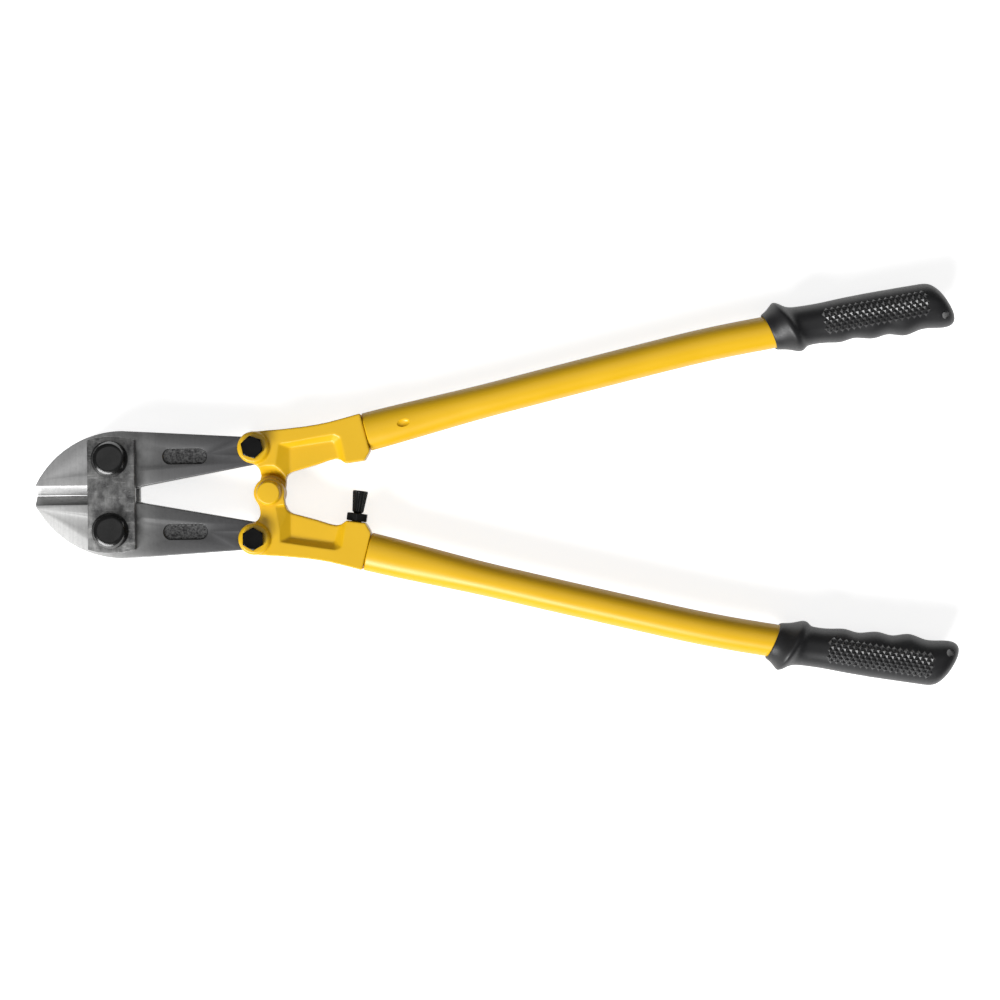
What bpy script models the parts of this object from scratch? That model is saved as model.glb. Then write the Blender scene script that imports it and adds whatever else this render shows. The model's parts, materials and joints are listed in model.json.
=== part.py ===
"""Bolt cutters of the 18 inch class: two jaws between link plates, two forged yokes, tube handles and grips.

The tool lies flat with its jaws closed. X runs from the cutting tips to the grips, Y lies across the
tool and Z through its thickness. Sizes are in millimetres, and MM turns them into metres.
The upper half (towards +Y) is modelled, and the lower half is the same forgings turned over about X.
"""

import math

import bmesh
import bpy
from mathutils import Matrix, Vector

MM = 0.001
GAP = 0.3
BOLT_END_INSET = 0.4

# The mechanism when closed, from the line through the two jaw bolts.
JAW_PIVOT = (0.0, 17.8)
HANDLE_PIVOT = (70.8, 22.7)
CENTRE_PIVOT = (78.3, 0.0)

# Jaws.
JAW_HALF = 4.5
TIP_X = -38.2
TIP_HALF_HEIGHT = 5.5
TIP_ARC_CENTRE = (5.0, -16.6)
TIP_ARC_RADIUS = 48.5
ARM_OUTER_END = (62.8, 28.4)
ARM_INNER_START = (15.1, 4.2)
ARM_END_RADIUS = 8.2
ARM_END_ANGLES = (36.0, -79.7)
HEEL_END_ANGLE = -80.0
EDGE_HALF_GAP = 0.15
EDGE_LAND_HALF = 0.3
EDGE_BEVEL_WIDTH = 4.6
EDGE_LENGTH_PAST_PIVOT = 5.0
RECESS_CENTRE = (36.3, 18.8)
RECESS_LENGTH = 22.4
RECESS_WIDTH = 8.1
RECESS_DEPTH = 0.9

# Link plates, their bolts, washers and nuts.
PLATE_THICKNESS = 4.5
PLATE_LEFT = -11.35
PLATE_RIGHT = 12.05
PLATE_HALF_HEIGHT = 29.0
PLATE_CORNER_HEIGHT = 27.2
JAW_SHANK_RADIUS = 4.9
JAW_HEAD_RADIUS = 9.0
JAW_HEAD_TOP_RADIUS = 6.3
JAW_HEAD_RIM = 3.2
JAW_HEAD_HEIGHT = 5.5
JAW_BOLT_END_CHAMFER = 0.8
JAW_BOLT_END_INSET = 0.6
JAW_WASHER_RADIUS = 10.0
JAW_WASHER_THICKNESS = 1.4
JAW_NUT_ACROSS_FLATS = 16.0
JAW_NUT_HEIGHT = 5.6
NUT_CHAMFER = 0.6
NUT_FACE_INSET = 0.1
NUT_CORNER_MARGIN = 0.2

# Yokes, in the handle's own frame: from the yoke bolt, along X and Y of the closed tool.
YOKE_HALF = 6.5
EAR_RADIUS = 8.0
EAR_HALF = 8.8
EAR_CHAMFER = 1.0
FORK_HALF = JAW_HALF + GAP
FORK_RADIUS = ARM_END_RADIUS + GAP
FORK_HALF_WIDTH = 9.6
LAP_RADIUS = 7.7
EAR_SWEEP = (84.0, 266.0)
NECK_LEFT = ((1.6, -9.2), (2.9, -11.2), (3.1, -13.4), (2.2, -16.6))
LAP_SWEEP = (142.0, 376.0)
NECK_RIGHT = ((15.3, -17.6), (15.8, -14.4))
LAP_CLEARANCE_RADIUS = 9.6
LAP_HALF_GAP = 0.15
RIM_RECESS_DEPTH = 2.2
PAD_CENTRE = (50.4, -7.8)
PAD_HALF_LENGTH = 4.8
INNER_EDGE = ((18.0, -12.6), (31.1, -8.8), (37.0, -6.8), (40.0, -6.1), (43.0, -6.4))
OUTER_EDGE = ((43.0, 13.7), (31.1, 11.1), (19.1, 9.6), (10.0, 8.7))
RIM_RECESS = ((18.5, 1.0), (40.3, 5.2), (44.3, -5.6), (44.3, -14.0), (21.0, -14.0))

# Yoke bolts and the centre pin.
YOKE_SHANK_RADIUS = 3.0
YOKE_BOLT_ACROSS_FLATS = 10.0
YOKE_BOLT_HEAD = 4.5
YOKE_BOLT_HEAD_CHAMFER = 0.7
YOKE_BOLT_FACE_INSET = 0.2
YOKE_NUT_HEIGHT = 4.8
UPPER_HEX_TURN = 12.0
PIN_SHANK_RADIUS = 3.0
PIN_HEAD_RADIUS = 6.5
PIN_HEAD_TOP_RADIUS = 5.3
PIN_HEAD_RIM = 1.6
PIN_HEAD_HEIGHT = 3.2
OPEN_PIVOT_RADIUS = 4.8
PIN_WASHER_RADIUS = 7.4
PIN_WASHER_THICKNESS = 1.2
PIN_NUT_HEIGHT = 4.0

# Handle tubes: a centreline that starts at the yoke's shoulder, and its heading in degrees.
TUBE_START = (55.5, 7.0)
TUBE_WALL = 1.5
TUBE_RADIUS = 8.3
TUBE_START_WIDE = 9.65
TUBE_START_THIN = 7.0
TUBE_FLARE_LENGTH = 70.0
TUBE_HEADINGS = (14.2, 13.4, 9.8)
TUBE_STRAIGHT_END = 150.0
TUBE_BEND_END = 205.0
GRIP_MOUTH = 207.2
TUBE_LENGTH_IN_GRIP = 77.0
TUBE_STATIONS = (0.3, 12.0, 24.0, 36.0, 50.0, 70.0, 110.0, 150.0, 164.0, 178.0, 192.0, 205.0)
TANG_OVERLAP = 4.0
TANG_LENGTH = 30.0
TANG_START_HALVES = (7.7, 4.8)
TANG_END_HALVES = (6.9, 4.8)

# Grips, from the mouth: place along the axis, outer side, inner side, half thickness, slant of the section.
GRIP_SECTIONS = (
    (0.0, 9.5, -9.5, 9.6, -0.24),
    (5.5, 11.2, -10.0, 11.0, -0.26),
    (9.9, 14.0, -12.2, 13.6, -0.26),
    (12.3, 13.2, -11.8, 13.0, -0.30),
    (15.1, 10.6, -10.2, 11.0, -0.36),
    (25.0, 9.9, -10.0, 10.6, 0.0),
    (34.8, 10.2, -11.6, 10.9, 0.0),
    (42.1, 10.4, -10.6, 11.0, 0.0),
    (51.3, 10.5, -12.7, 11.0, 0.0),
    (59.1, 10.4, -12.0, 11.0, 0.0),
    (67.3, 10.3, -14.2, 11.0, 0.0),
    (77.5, 10.1, -12.3, 11.0, -0.04),
    (84.75, 9.3, -13.7, 10.6, -0.15),
    (87.95, 7.2, -13.2, 9.2, -0.23),
    (90.1, 4.2, -11.2, 6.8, -0.27),
    (91.15, 0.3, -8.2, 4.0, -0.34),
)
GRIP_APEX = (91.7, -4.2)
GRIP_SQUARENESS = 2.3
BORE_LEAD = 6.0
HANGING_HOLE = (87.2, -8.0)
HANGING_HOLE_RADIUS = 1.9

# Stop screw and its lock nut, standing on the lower yoke's pad.
STOP_LEAN = 8.0
STOP_SHANK_RADIUS = 2.5
STOP_SHANK_DEPTH = 8.0
STOP_HOLE_DEPTH = 12.0
LOCK_NUT_ACROSS_FLATS = 10.0
LOCK_NUT_HEIGHT = 4.0
STOP_HEAD_RADII = (2.7, 3.5)
STOP_HEAD_HEIGHT = 11.0
STOP_HEAD_CHAMFER = 0.5

# How far a cutting shape reaches past the face it cuts.
OVER = 1.0

# Steps round small, ordinary and large circles, and the angle past which an edge stays sharp.
COARSE = 16
ROUND = 24
FINE = 32
SHARP_ANGLE = 35.0


def clear_scene():
    for item in list(bpy.data.objects):
        bpy.data.objects.remove(item)


def make_finish(name, colour, roughness, metallic):
    finish = bpy.data.materials.new(name)
    finish.use_nodes = True
    shader = finish.node_tree.nodes["Principled BSDF"]
    shader.inputs["Base Color"].default_value = (*colour, 1.0)
    shader.inputs["Roughness"].default_value = roughness
    shader.inputs["Metallic"].default_value = metallic
    return finish


def arc(centre, radius, start, end, steps):
    """Points on an arc, both ends included; the angles are in degrees."""
    points = []
    for step in range(steps + 1):
        angle = math.radians(start + (end - start) * step / steps)
        points.append((centre[0] + radius * math.cos(angle), centre[1] + radius * math.sin(angle)))
    return points


def moved(points, offset):
    return [(x - offset[0], y - offset[1]) for x, y in points]


def finished(shape):
    bmesh.ops.remove_doubles(shape, verts=shape.verts, dist=1e-7)
    bmesh.ops.recalc_face_normals(shape, faces=shape.faces)
    return shape


def prism(outline, low, high):
    """An outline in XY, raised from one height to another."""
    shape = bmesh.new()
    corners = [shape.verts.new((x * MM, y * MM, low * MM)) for x, y in outline]
    base = shape.faces.new(corners)
    raised = bmesh.ops.extrude_face_region(shape, geom=[base])["geom"]
    upper = [item for item in raised if isinstance(item, bmesh.types.BMVert)]
    bmesh.ops.translate(shape, verts=upper, vec=(0.0, 0.0, (high - low) * MM))
    return finished(shape)


def disc(centre, radius, low, high, steps=ROUND):
    return prism(arc(centre, radius, 0.0, 360.0 - 360.0 / steps, steps - 1), low, high)


def box(low, high):
    outline = ((low[0], low[1]), (high[0], low[1]), (high[0], high[1]), (low[0], high[1]))
    return prism(outline, low[2], high[2])


def hexagon(across_flats, turn=0.0):
    corner_radius = across_flats / 2.0 / math.cos(math.pi / 6.0)
    return arc((0.0, 0.0), corner_radius, turn, turn + 300.0, 5)


def turned(profile, steps=ROUND, closed=False):
    """A profile of (radius, height) points turned about Z."""
    shape = bmesh.new()
    points = [shape.verts.new((radius * MM, 0.0, height * MM)) for radius, height in profile]
    pairs = list(zip(points, points[1:]))
    if closed:
        pairs.append((points[-1], points[0]))
    edges = [shape.edges.new(pair) for pair in pairs]
    bmesh.ops.spin(
        shape, geom=points + edges, cent=(0.0, 0.0, 0.0), axis=(0.0, 0.0, 1.0),
        angle=math.tau, steps=steps, use_merge=True,
    )
    return finished(shape)


def loft(rings, end_point=None):
    """A skin over rings of points, capped at both ends; an end point closes the last ring to a tip."""
    shape = bmesh.new()
    rows = [[shape.verts.new(point) for point in ring] for ring in rings]
    for row, following in zip(rows, rows[1:]):
        for index in range(len(row)):
            nearby = (index + 1) % len(row)
            shape.faces.new((row[index], row[nearby], following[nearby], following[index]))
    shape.faces.new(rows[0])
    if end_point is None:
        shape.faces.new(rows[-1])
    else:
        tip = shape.verts.new(end_point)
        for index, corner in enumerate(rows[-1]):
            shape.faces.new((corner, rows[-1][(index + 1) % len(rows[-1])], tip))
    return finished(shape)


def helper_object(name, shape):
    mesh = bpy.data.meshes.new(name)
    shape.to_mesh(mesh)
    shape.free()
    helper = bpy.data.objects.new(name, mesh)
    helper.hide_render = True
    helper.display_type = "WIRE"
    bpy.context.scene.collection.objects.link(helper)
    return helper


def combined(name, base, steps):
    """The mesh of a base shape after each (operation, shape) step."""
    body = helper_object(name, base)
    helpers = [body]
    for operation, shape in steps:
        tool = helper_object(f"{name}_tool", shape)
        helpers.append(tool)
        step = body.modifiers.new(operation, "BOOLEAN")
        step.operation = operation
        step.object = tool
    graph = bpy.context.evaluated_depsgraph_get()
    mesh = bpy.data.meshes.new_from_object(body.evaluated_get(graph))
    mesh.name = name
    for item in helpers:
        bpy.data.objects.remove(item)
    return mesh


def plain_mesh(name, shape):
    mesh = bpy.data.meshes.new(name)
    shape.to_mesh(mesh)
    shape.free()
    return mesh


def axis_empty(name, place, parent=None, flipped=False):
    """An empty on a joint's axis; a flipped one carries the lower half, turned over about X."""
    empty = bpy.data.objects.new(name, None)
    empty.empty_display_size = 10.0 * MM
    empty.location = Vector((place[0], place[1], 0.0)) * MM
    empty.rotation_euler.x = math.pi if flipped else 0.0
    empty.parent = parent
    bpy.context.scene.collection.objects.link(empty)
    return empty


def add_part(name, mesh, finish, parent, place=(0.0, 0.0, 0.0), turn=(0.0, 0.0, 0.0), smooth=True):
    """A named sub-part: its mesh is in its parent's frame unless it is placed or turned."""
    if smooth:
        mesh.shade_smooth()
        mesh.set_sharp_from_angle(angle=math.radians(SHARP_ANGLE))
    part = bpy.data.objects.new(name, mesh)
    part.location = Vector(place) * MM
    part.rotation_euler = [math.radians(angle) for angle in turn]
    part.parent = parent
    if not mesh.materials:
        mesh.materials.append(finish)
    bpy.context.scene.collection.objects.link(part)
    return part


# Jaws and link plates.


def jaw_outline():
    """From the tip over the curved back to the arm's round end, and back along its inner side."""
    heel_radius = JAW_PIVOT[1] - EDGE_HALF_GAP
    tip_angle = 180.0 - math.degrees(
        math.atan2(TIP_HALF_HEIGHT - TIP_ARC_CENTRE[1], TIP_ARC_CENTRE[0] - TIP_X)
    )
    outline = [(TIP_X, EDGE_HALF_GAP)]
    outline += arc(TIP_ARC_CENTRE, TIP_ARC_RADIUS, tip_angle, 90.0, 14)
    outline.append(ARM_OUTER_END)
    outline += arc(HANDLE_PIVOT, ARM_END_RADIUS, *ARM_END_ANGLES, 8)
    outline.append(ARM_INNER_START)
    outline += arc(JAW_PIVOT, heel_radius, HEEL_END_ANGLE, -90.0, 3)
    return moved(outline, JAW_PIVOT)


def stadium(centre, length, width):
    reach = (length - width) / 2.0
    right = arc((centre[0] + reach, centre[1]), width / 2.0, -90.0, 90.0, 8)
    left = arc((centre[0] - reach, centre[1]), width / 2.0, 90.0, 270.0, 8)
    return right + left


def edge_bevel(side):
    """The wedge ground off one face along the cutting edge."""
    slope = (JAW_HALF - EDGE_LAND_HALF) / EDGE_BEVEL_WIDTH
    edge = EDGE_HALF_GAP - JAW_PIVOT[1]
    low = (edge - OVER, EDGE_LAND_HALF - OVER * slope)
    high = (edge + EDGE_BEVEL_WIDTH + OVER, JAW_HALF + OVER * slope)
    section = (low, high, (low[0], high[1]))
    rings = []
    for x in (TIP_X - OVER, EDGE_LENGTH_PAST_PIVOT):
        rings.append([Vector((x, y, z * side)) * MM for y, z in section])
    return loft(rings)


def jaw_mesh():
    recess = moved(stadium(RECESS_CENTRE, RECESS_LENGTH, RECESS_WIDTH), JAW_PIVOT)
    yoke_bolt = moved([HANDLE_PIVOT], JAW_PIVOT)[0]
    tall = JAW_HALF + OVER
    steps = [
        ("DIFFERENCE", edge_bevel(1.0)),
        ("DIFFERENCE", edge_bevel(-1.0)),
        ("DIFFERENCE", disc((0.0, 0.0), JAW_SHANK_RADIUS + GAP, -tall, tall)),
        ("DIFFERENCE", disc(yoke_bolt, YOKE_SHANK_RADIUS + GAP, -tall, tall, COARSE)),
        ("DIFFERENCE", prism(recess, JAW_HALF - RECESS_DEPTH, tall)),
        ("DIFFERENCE", prism(recess, -tall, RECESS_DEPTH - JAW_HALF)),
    ]
    return combined("jaw", prism(jaw_outline(), -JAW_HALF, JAW_HALF), steps)


def plate_outline():
    """Straight sides and shallow arcs over the two ends."""
    half_width = (PLATE_RIGHT - PLATE_LEFT) / 2.0
    middle = (PLATE_RIGHT + PLATE_LEFT) / 2.0
    rise = PLATE_HALF_HEIGHT - PLATE_CORNER_HEIGHT
    radius = (half_width ** 2 + rise ** 2) / (2.0 * rise)
    reach = math.degrees(math.asin(half_width / radius))
    centre = PLATE_HALF_HEIGHT - radius
    top = arc((middle, centre), radius, 90.0 - reach, 90.0 + reach, 6)
    bottom = arc((middle, -centre), radius, 270.0 - reach, 270.0 + reach, 6)
    return top + bottom


def plate_mesh():
    steps = []
    for side in (1.0, -1.0):
        bolt = (JAW_PIVOT[0], side * JAW_PIVOT[1])
        hole = disc(bolt, JAW_SHANK_RADIUS + GAP, -OVER, PLATE_THICKNESS + OVER)
        steps.append(("DIFFERENCE", hole))
    return combined("link_plate", prism(plate_outline(), 0.0, PLATE_THICKNESS), steps)


def jaw_stack():
    """Heights through the plates: plate, bolt head, rear washer and nut."""
    plate = JAW_HALF + GAP
    outer = plate + PLATE_THICKNESS + GAP
    nut = outer + JAW_WASHER_THICKNESS + GAP
    return plate, outer, nut


def jaw_bolt_mesh():
    _, seat, nut = jaw_stack()
    end = -(nut + JAW_NUT_HEIGHT - JAW_BOLT_END_INSET)
    profile = (
        (0.0, end),
        (JAW_SHANK_RADIUS - JAW_BOLT_END_CHAMFER, end),
        (JAW_SHANK_RADIUS, end + JAW_BOLT_END_CHAMFER),
        (JAW_SHANK_RADIUS, seat),
        (JAW_HEAD_RADIUS, seat),
        (JAW_HEAD_RADIUS, seat + JAW_HEAD_RIM),
        (JAW_HEAD_TOP_RADIUS, seat + JAW_HEAD_HEIGHT),
        (0.0, seat + JAW_HEAD_HEIGHT),
    )
    return plain_mesh("jaw_bolt", turned(profile, FINE))


def washer_mesh(name, outer, hole, thickness):
    profile = ((hole, 0.0), (outer, 0.0), (outer, thickness), (hole, thickness))
    return plain_mesh(name, turned(profile, ROUND, closed=True))


def nut_mesh(name, across_flats, height, hole):
    """A hexagon with its corners turned off at both ends, and a round hole."""
    face_radius = across_flats / 2.0 - NUT_FACE_INSET
    barrel_radius = across_flats / 2.0 / math.cos(math.pi / 6.0) + NUT_CORNER_MARGIN
    barrel = turned(
        (
            (0.0, 0.0),
            (face_radius, 0.0),
            (barrel_radius, NUT_CHAMFER),
            (barrel_radius, height - NUT_CHAMFER),
            (face_radius, height),
            (0.0, height),
        )
    )
    bore = disc((0.0, 0.0), hole, -OVER, height + OVER, COARSE)
    body = prism(hexagon(across_flats), -OVER, height + OVER)
    return combined(name, body, [("INTERSECT", barrel), ("DIFFERENCE", bore)])


# Yokes.


def lap_centre():
    return (CENTRE_PIVOT[0] - HANDLE_PIVOT[0], CENTRE_PIVOT[1] - HANDLE_PIVOT[1])


def shoulder_corner(side):
    heading = math.radians(TUBE_HEADINGS[0])
    reach = side * TUBE_START_WIDE
    return (TUBE_START[0] - reach * math.sin(heading), TUBE_START[1] + reach * math.cos(heading))


def yoke_outline():
    """Round the ear, down the neck, round the lap, and out to the shoulder of the tube and back."""
    reach_x = PAD_HALF_LENGTH * math.cos(math.radians(STOP_LEAN))
    reach_y = PAD_HALF_LENGTH * math.sin(math.radians(STOP_LEAN))
    pad_left = (PAD_CENTRE[0] - reach_x, PAD_CENTRE[1] - reach_y)
    pad_right = (PAD_CENTRE[0] + reach_x, PAD_CENTRE[1] + reach_y)
    outline = arc((0.0, 0.0), EAR_RADIUS, *EAR_SWEEP, 13)
    outline += list(NECK_LEFT)
    outline += arc(lap_centre(), LAP_RADIUS, *LAP_SWEEP, 16)
    outline += list(NECK_RIGHT)
    outline += list(INNER_EDGE)
    outline += [pad_left, pad_right, shoulder_corner(-1.0), shoulder_corner(1.0)]
    outline += list(OUTER_EDGE)
    return outline


def ellipse_ring(centre, heading, wide, thin, steps):
    """A ring across a line in XY: wide across it, thin along Z."""
    across = Vector((-math.sin(heading), math.cos(heading), 0.0))
    ring = []
    for step in range(steps):
        angle = math.tau * step / steps
        point = Vector((*centre, 0.0)) + across * wide * math.cos(angle)
        point.z = thin * math.sin(angle)
        ring.append(point * MM)
    return ring


def tang():
    """The tapered tongue that the tube slides over."""
    heading = math.radians(TUBE_HEADINGS[0])
    rings = []
    for reach, halves in ((-TANG_OVERLAP, TANG_START_HALVES), (TANG_LENGTH, TANG_END_HALVES)):
        centre = (
            TUBE_START[0] + reach * math.cos(heading),
            TUBE_START[1] + reach * math.sin(heading),
        )
        rings.append(ellipse_ring(centre, heading, *halves, COARSE))
    return loft(rings)


def ear_boss():
    top = EAR_RADIUS - EAR_CHAMFER
    return turned(
        (
            (0.0, -EAR_HALF),
            (top, -EAR_HALF),
            (EAR_RADIUS, EAR_CHAMFER - EAR_HALF),
            (EAR_RADIUS, EAR_HALF - EAR_CHAMFER),
            (top, EAR_HALF),
            (0.0, EAR_HALF),
        )
    )


def stop_frame():
    """The stop screw's frame: on the pad, with its own Z pointing away from the yoke."""
    lean = math.radians(STOP_LEAN)
    along = Vector((math.sin(lean), -math.cos(lean), 0.0))
    turn = along.to_track_quat("Z", "Y").to_matrix().to_4x4()
    return Matrix.Translation(Vector((*PAD_CENTRE, 0.0)) * MM) @ turn


def yoke_mesh(name, pin_hole, threaded):
    tall = EAR_HALF + OVER
    left = -(EAR_RADIUS + OVER)
    slot = box((left, -FORK_HALF_WIDTH, -FORK_HALF), (0.0, FORK_HALF_WIDTH, FORK_HALF))
    steps = [
        ("UNION", ear_boss()),
        ("UNION", tang()),
        ("DIFFERENCE", disc((0.0, 0.0), FORK_RADIUS, -FORK_HALF, FORK_HALF)),
        ("DIFFERENCE", slot),
        ("DIFFERENCE", disc(lap_centre(), LAP_CLEARANCE_RADIUS, -LAP_HALF_GAP, tall, FINE)),
        ("DIFFERENCE", prism(RIM_RECESS, YOKE_HALF - RIM_RECESS_DEPTH, tall)),
        ("DIFFERENCE", prism(RIM_RECESS, -tall, RIM_RECESS_DEPTH - YOKE_HALF)),
        ("DIFFERENCE", disc((0.0, 0.0), YOKE_SHANK_RADIUS + GAP, -tall, tall, COARSE)),
        ("DIFFERENCE", disc(lap_centre(), pin_hole, -tall, tall, COARSE)),
    ]
    if threaded:
        hole = disc((0.0, 0.0), STOP_SHANK_RADIUS + GAP, -STOP_HOLE_DEPTH, OVER, COARSE)
        bmesh.ops.transform(hole, matrix=stop_frame(), verts=hole.verts)
        steps.append(("DIFFERENCE", hole))
    return combined(name, prism(yoke_outline(), -YOKE_HALF, YOKE_HALF), steps)


def yoke_bolt_mesh():
    """A hexagon head over the front ear, and a shank that ends inside the rear nut."""
    seat = EAR_HALF + GAP
    end = -(seat + YOKE_NUT_HEIGHT - BOLT_END_INSET)
    shank = disc((0.0, 0.0), YOKE_SHANK_RADIUS, end, seat + OVER)
    top = seat + YOKE_BOLT_HEAD
    face_radius = YOKE_BOLT_ACROSS_FLATS / 2.0 - YOKE_BOLT_FACE_INSET
    barrel_radius = YOKE_BOLT_ACROSS_FLATS / 2.0 / math.cos(math.pi / 6.0) + NUT_CORNER_MARGIN
    dome = turned(
        (
            (0.0, seat),
            (barrel_radius, seat),
            (barrel_radius, top - YOKE_BOLT_HEAD_CHAMFER),
            (face_radius, top),
            (0.0, top),
        )
    )
    head = prism(hexagon(YOKE_BOLT_ACROSS_FLATS, 30.0), seat, top + OVER)
    return combined("yoke_bolt", head, [("INTERSECT", dome), ("UNION", shank)])


def centre_pin_mesh():
    """A low round head on the front lap and a shank through both laps to the rear nut."""
    seat = YOKE_HALF + GAP
    end = -(seat + PIN_WASHER_THICKNESS + GAP + PIN_NUT_HEIGHT - BOLT_END_INSET)
    profile = (
        (0.0, end),
        (PIN_SHANK_RADIUS, end),
        (PIN_SHANK_RADIUS, seat),
        (PIN_HEAD_RADIUS, seat),
        (PIN_HEAD_RADIUS, seat + PIN_HEAD_RIM),
        (PIN_HEAD_TOP_RADIUS, seat + PIN_HEAD_HEIGHT),
        (0.0, seat + PIN_HEAD_HEIGHT),
    )
    return plain_mesh("centre_pin", turned(profile))


# Tubes and grips.


def smooth_step(value):
    value = min(max(value, 0.0), 1.0)
    return value * value * (3.0 - 2.0 * value)


def tube_heading(place):
    """The centreline's direction, in radians, at a distance from the shoulder."""
    first, second, last = TUBE_HEADINGS
    if place <= TUBE_STRAIGHT_END:
        return math.radians(first + (second - first) * place / TUBE_STRAIGHT_END)
    bend = smooth_step((place - TUBE_STRAIGHT_END) / (TUBE_BEND_END - TUBE_STRAIGHT_END))
    return math.radians(second + (last - second) * bend)


def tube_point(place):
    """The centreline's point at a distance from the shoulder, summed in short steps."""
    x, y = TUBE_START
    steps = max(1, round(place))
    length = place / steps
    for step in range(steps):
        heading = tube_heading((step + 0.5) * length)
        x += length * math.cos(heading)
        y += length * math.sin(heading)
    return (x, y)


def tube_halves(place):
    """The tube is pressed oval where it holds the tang, and round further out."""
    flare = smooth_step(place / TUBE_FLARE_LENGTH)
    wide = TUBE_START_WIDE + (TUBE_RADIUS - TUBE_START_WIDE) * flare
    thin = TUBE_START_THIN + (TUBE_RADIUS - TUBE_START_THIN) * flare
    return wide, thin


def tube_rings(inset, overrun):
    stations = list(TUBE_STATIONS) + [GRIP_MOUTH + TUBE_LENGTH_IN_GRIP]
    stations[0] -= overrun
    stations[-1] += overrun
    rings = []
    for place in stations:
        wide, thin = tube_halves(place)
        centre = tube_point(max(place, 0.0))
        if place < 0.0:
            heading = tube_heading(0.0)
            centre = (centre[0] + place * math.cos(heading), centre[1] + place * math.sin(heading))
        rings.append(ellipse_ring(centre, tube_heading(place), wide - inset, thin - inset, ROUND))
    return rings


def tube_mesh():
    bore = loft(tube_rings(TUBE_WALL, OVER))
    return combined("handle_tube", loft(tube_rings(0.0, 0.0)), [("DIFFERENCE", bore)])


def grip_frame():
    """The grip's frame: its mouth's centre, X along the axis and Y towards the outer side."""
    mouth = Vector((*tube_point(GRIP_MOUTH), 0.0)) * MM
    return Matrix.Translation(mouth) @ Matrix.Rotation(tube_heading(GRIP_MOUTH), 4, "Z")


def grip_ring(place, outer, inner, thick, slant):
    """One section, a little squarer than an ellipse, slanted so that its outer side leads."""
    centre = (outer + inner) / 2.0
    half = (outer - inner) / 2.0
    power = 2.0 / GRIP_SQUARENESS
    ring = []
    for step in range(ROUND):
        angle = math.tau * step / ROUND
        across = math.copysign(abs(math.cos(angle)) ** power, math.cos(angle))
        up = math.copysign(abs(math.sin(angle)) ** power, math.sin(angle))
        ring.append(Vector((place + slant * half * across, centre + half * across, thick * up)) * MM)
    return ring


def grip_mesh():
    body = loft([grip_ring(*section) for section in GRIP_SECTIONS], Vector((*GRIP_APEX, 0.0)) * MM)
    bore_rings = []
    for place in (-BORE_LEAD, TUBE_LENGTH_IN_GRIP + GAP):
        bore_rings.append(ellipse_ring((place, 0.0), 0.0, TUBE_RADIUS + GAP, TUBE_RADIUS + GAP, ROUND))
    reach = 2.0 * TUBE_RADIUS
    steps = [
        ("DIFFERENCE", loft(bore_rings)),
        ("DIFFERENCE", disc(HANGING_HOLE, HANGING_HOLE_RADIUS, -reach, reach, COARSE)),
    ]
    mesh = combined("grip", body, steps)
    mesh.transform(grip_frame())
    return mesh


# Stop screw.


def stop_screw_mesh():
    start = GAP + LOCK_NUT_HEIGHT + GAP
    low, high = STOP_HEAD_RADII
    profile = (
        (0.0, -STOP_SHANK_DEPTH),
        (STOP_SHANK_RADIUS, -STOP_SHANK_DEPTH),
        (STOP_SHANK_RADIUS, start),
        (low, start),
        (high, start + STOP_HEAD_HEIGHT - STOP_HEAD_CHAMFER),
        (high - STOP_HEAD_CHAMFER, start + STOP_HEAD_HEIGHT),
        (0.0, start + STOP_HEAD_HEIGHT),
    )
    return plain_mesh("stop_screw", turned(profile, COARSE))


def build_link(finishes, root):
    link = axis_empty("link", (0.0, 0.0), root)
    plate_height, outer, nut_height = jaw_stack()
    plate = plate_mesh()
    add_part("front_link_plate", plate, finishes["plate"], link, (0.0, 0.0, plate_height))
    add_part("rear_link_plate", plate, finishes["plate"], link, (0.0, 0.0, -plate_height), (180.0, 0.0, 0.0))
    bolt = jaw_bolt_mesh()
    washer = washer_mesh("jaw_washer", JAW_WASHER_RADIUS, JAW_SHANK_RADIUS + GAP, JAW_WASHER_THICKNESS)
    nut = nut_mesh("jaw_nut", JAW_NUT_ACROSS_FLATS, JAW_NUT_HEIGHT, JAW_SHANK_RADIUS + GAP)
    for half, side in (("upper", 1.0), ("lower", -1.0)):
        x, y = JAW_PIVOT[0], side * JAW_PIVOT[1]
        add_part(f"{half}_jaw_bolt", bolt, finishes["black_steel"], link, (x, y, 0.0))
        add_part(f"{half}_jaw_washer", washer, finishes["zinc"], link, (x, y, -outer), (180.0, 0.0, 0.0))
        add_part(f"{half}_jaw_nut", nut, finishes["black_steel"], link, (x, y, -nut_height), (180.0, 0.0, 0.0))


def build_half(half, side, finishes, root, shared):
    """One jaw and one handle, each on the empty at its own pivot."""
    flipped = side < 0.0
    jaw_axis = axis_empty(f"{half}_jaw_axis", (JAW_PIVOT[0], side * JAW_PIVOT[1]), root, flipped)
    add_part(f"{half}_jaw", shared["jaw"], finishes["jaw"], jaw_axis)
    place = (HANDLE_PIVOT[0], side * HANDLE_PIVOT[1])
    handle = axis_empty(f"{half}_handle_axis", place, root, flipped)
    pin_hole = PIN_SHANK_RADIUS + GAP if flipped else OPEN_PIVOT_RADIUS
    yoke = yoke_mesh(f"{half}_yoke", pin_hole, flipped)
    add_part(f"{half}_yoke", yoke, finishes["paint"], handle)
    add_part(f"{half}_tube", shared["tube"], finishes["paint"], handle)
    add_part(f"{half}_grip", shared["grip"], finishes["rubber"], handle)
    return handle


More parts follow.
